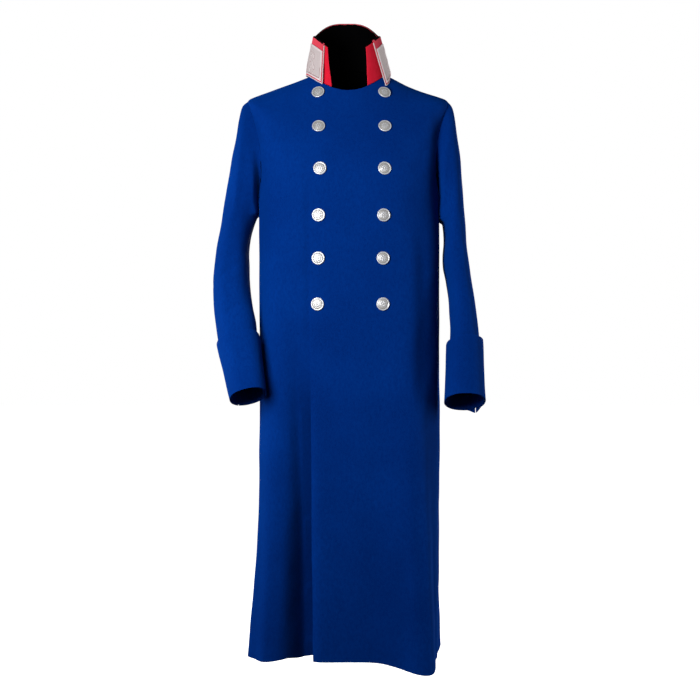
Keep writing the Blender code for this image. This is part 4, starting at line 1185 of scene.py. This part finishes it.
def button_outline():
    """A button's turned outline: radius, height and tone, from the shank to the middle. The tone paints
    shade beneath the button and highlight on the rim's crest.
    """
    radius = BUTTON_RADIUS
    lower = [
        (BUTTON_SHANK * 0.6, 0.0002, 0.2),
        (BUTTON_SHANK * 0.6, 0.0016, 0.2),
        (radius * 0.55, 0.0018, 0.3),
        (radius * 0.90, 0.0022, 0.4),
        (radius * 0.975, 0.0026, 0.6),
        (radius * 1.000, 0.0032, 0.9),
        (radius * 0.990, 0.0038, 1.0),
        (radius * 0.960, 0.0043, 1.0),
        (radius * 0.910, 0.0046, 1.0),
        (radius * 0.850, 0.0046, 0.9),
        (radius * 0.810, 0.0043, 0.5),
        (radius * 0.780, 0.0042, 0.3),
    ]
    face = []
    for share in np.linspace(0.76, 0.02, 34):
        face.append((radius * share, 0.0043 + 0.0013 * (1 - (share / 0.76) ** 2), None))
    return lower + face


def make_buttons(metal):
    """Twelve domed metal buttons with a plain rim, a beaded ring and a small rosette."""
    outline = button_outline()
    turn = np.linspace(0, 2 * math.pi, BUTTON_SIDES, endpoint=False)
    rings, tones = [], []
    for radius, height, tone in outline:
        share = radius / BUTTON_RADIUS
        relief = np.zeros(BUTTON_SIDES)
        if tone is None:
            petals = np.abs(np.cos(turn * BUTTON_PETALS / 2)) ** 0.7
            rosette = petals * np.exp(-((share - 0.34) / 0.15) ** 4)
            beads = (0.5 + 0.5 * np.cos(turn * 24)) * np.exp(-((share - 0.64) / 0.05) ** 2)
            line = 0.7 * np.exp(-((share - 0.54) / 0.02) ** 2)
            boss = np.exp(-(share / 0.12) ** 4)
            relief = np.maximum.reduce([rosette, beads, line + 0 * turn, boss + 0 * turn])
        rings.append(np.stack(
            [radius * np.cos(turn), radius * np.sin(turn), height + 0.00042 * relief], axis=1
        ))
        # The face's raised rosette, beads and boss are painted brighter than its field, as highlight
        tones.append(0.12 + 0.88 * relief if tone is None else np.full(BUTTON_SIDES, tone))
    count = len(rings)
    local = np.concatenate([*rings, [[0.0, 0.0, 0.0056 + 0.00042]]])
    tone = np.concatenate([*tones, [1.0]])
    ids = np.arange(count * BUTTON_SIDES).reshape(count, BUTTON_SIDES)
    near, far = ids[:-1], ids[1:]
    faces = np.stack([near, np.roll(near, -1, 1), np.roll(far, -1, 1), far], -1).reshape(-1, 4).tolist()
    faces.append(ids[0][::-1].tolist())
    last = len(local) - 1
    faces += [[int(a), int(b), last] for a, b in zip(ids[-1], np.roll(ids[-1], -1))]
    for number, row in enumerate(BUTTON_ROWS, start=1):
        for arm, across in (("right", row.right_x), ("left", row.left_x)):
            seat, out = button_seat(across, row.height)
            spin = 0.6 * number + (0.9 if arm == "left" else 0.0)
            aim = np.array(Vector((0, 0, 1)).rotation_difference(out).to_matrix())
            turned = local @ np.array([
                [math.cos(spin), math.sin(spin), 0.0],
                [-math.sin(spin), math.cos(spin), 0.0],
                [0.0, 0.0, 1.0],
            ])
            node = f"button_{arm}_{number}"
            piece = add_mesh(f"{node}_metal", turned @ aim.T + np.array(seat), faces, [metal])
            set_tone(piece, tone)
            dress(node, piece)


def make_stage():
    """A wide pale floor below the hanging coat, and an even white surround."""
    made, tree, shader = new_material("pale_floor")
    speck = noise(tree, 30.0)
    tone = blend_colour(tree, ranged(tree, speck, 0.0, 1.0), (0.90, 0.90, 0.90), (0.94, 0.94, 0.94))
    tree.links.new(tone, shader.inputs["Base Color"])
    set_shader(shader, Roughness=0.9, Emission_Strength=1.0, Emission_Color=(1.0, 1.0, 1.0, 1.0))
    reach = 20.0
    corners = [(-reach, -reach), (reach, -reach), (reach, reach), (-reach, reach)]
    floor = add_mesh("floor", [(x, y, FLOOR_HEIGHT) for x, y in corners], [[0, 1, 2, 3]], [made])
    floor.visible_diffuse = False
    floor.visible_glossy = False
    world = bpy.data.worlds.new("white_surround")
    world.use_nodes = True
    tree = world.node_tree
    surround = tree.nodes["Background"]
    surround.inputs["Color"].default_value = (1.0, 1.0, 1.0, 1.0)
    seen = tree.nodes.new("ShaderNodeLightPath")
    mirrored = tree.nodes.new("ShaderNodeMapRange")
    mirrored.inputs["To Min"].default_value = SURROUND_LIGHT
    mirrored.inputs["To Max"].default_value = SURROUND_GLOSS
    strength = tree.nodes.new("ShaderNodeMapRange")
    strength.inputs["To Max"].default_value = 1.0
    tree.links.new(seen.outputs["Is Glossy Ray"], mirrored.inputs["Value"])
    tree.links.new(mirrored.outputs["Result"], strength.inputs["To Min"])
    tree.links.new(seen.outputs["Is Camera Ray"], strength.inputs["Value"])
    tree.links.new(strength.outputs["Result"], surround.inputs["Strength"])
    bpy.context.scene.world = world


def make_lamps():
    """Large soft lamps, as in a plain studio."""
    for lamp in LAMPS:
        light = bpy.data.lights.new(lamp.name, "AREA")
        light.shape = "DISK"
        light.size = lamp.size
        light.energy = lamp.power
        placed = bpy.data.objects.new(lamp.name, light)
        placed.location = lamp.place
        placed.visible_camera = False
        aim = Vector(lamp.aim) - Vector(lamp.place)
        placed.rotation_euler = aim.to_track_quat("-Z", "Y").to_euler()
        bpy.context.scene.collection.objects.link(placed)


def make_camera():
    """A level camera in front of the waist."""
    data = bpy.data.cameras.new("camera")
    data.sensor_width = SENSOR
    data.lens = SENSOR * -CAMERA_PLACE[1] / METRES_ACROSS
    placed = bpy.data.objects.new("camera", data)
    placed.location = CAMERA_PLACE
    placed.rotation_euler = (math.pi / 2, 0.0, 0.0)
    bpy.context.scene.collection.objects.link(placed)
    bpy.context.scene.camera = placed
    bpy.context.scene.view_settings.view_transform = "Standard"


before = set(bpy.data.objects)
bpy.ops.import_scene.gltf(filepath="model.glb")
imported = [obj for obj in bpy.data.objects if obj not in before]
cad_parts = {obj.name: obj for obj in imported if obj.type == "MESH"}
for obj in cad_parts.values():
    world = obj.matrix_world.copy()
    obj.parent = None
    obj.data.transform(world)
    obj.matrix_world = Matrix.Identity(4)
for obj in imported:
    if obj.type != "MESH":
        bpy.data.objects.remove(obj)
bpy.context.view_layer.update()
make_camera()
blue_wool = wool("blue_wool", (0.0003, 0.019, 0.170), (0.0007, 0.052, 0.365), (0.01, 0.30, 0.9), 0.08, 0.90)
red_wool = wool("red_wool", (0.76, 0.050, 0.085), (0.94, 0.110, 0.160), (1.0, 0.30, 0.35), 0.10, 0.80)
red_satin = wool("red_satin", (0.78, 0.012, 0.036), (0.96, 0.026, 0.066), (1.0, 0.25, 0.3), 0.15, 0.55)
# The lining is painted near black, as the shade inside the coat, collar and sleeves
shade_black_lining = lining()
lace_metal = toned("silver_lace", LACE_LIGHT_AND_SHADE_TONES, 0.50, 0.15, 0.3)
cord_white = toned("white_cord", CORD_LIGHT_AND_SHADE_TONES, 0.80, 0.0, 0.2)
button_metal = toned("silvered_metal", BUTTON_LIGHT_AND_SHADE_TONES, 0.42, 0.60, 0.5, 600.0, 0.00005)
make_body(blue_wool, shade_black_lining)
make_sleeves(blue_wool, shade_black_lining)
make_cuffs(blue_wool, shade_black_lining)
make_collar(red_wool, red_satin, shade_black_lining)
make_lace(lace_metal)
make_piping(cord_white)
make_facing(shade_black_lining)
make_buttons(button_metal)
make_stage()
make_lamps()
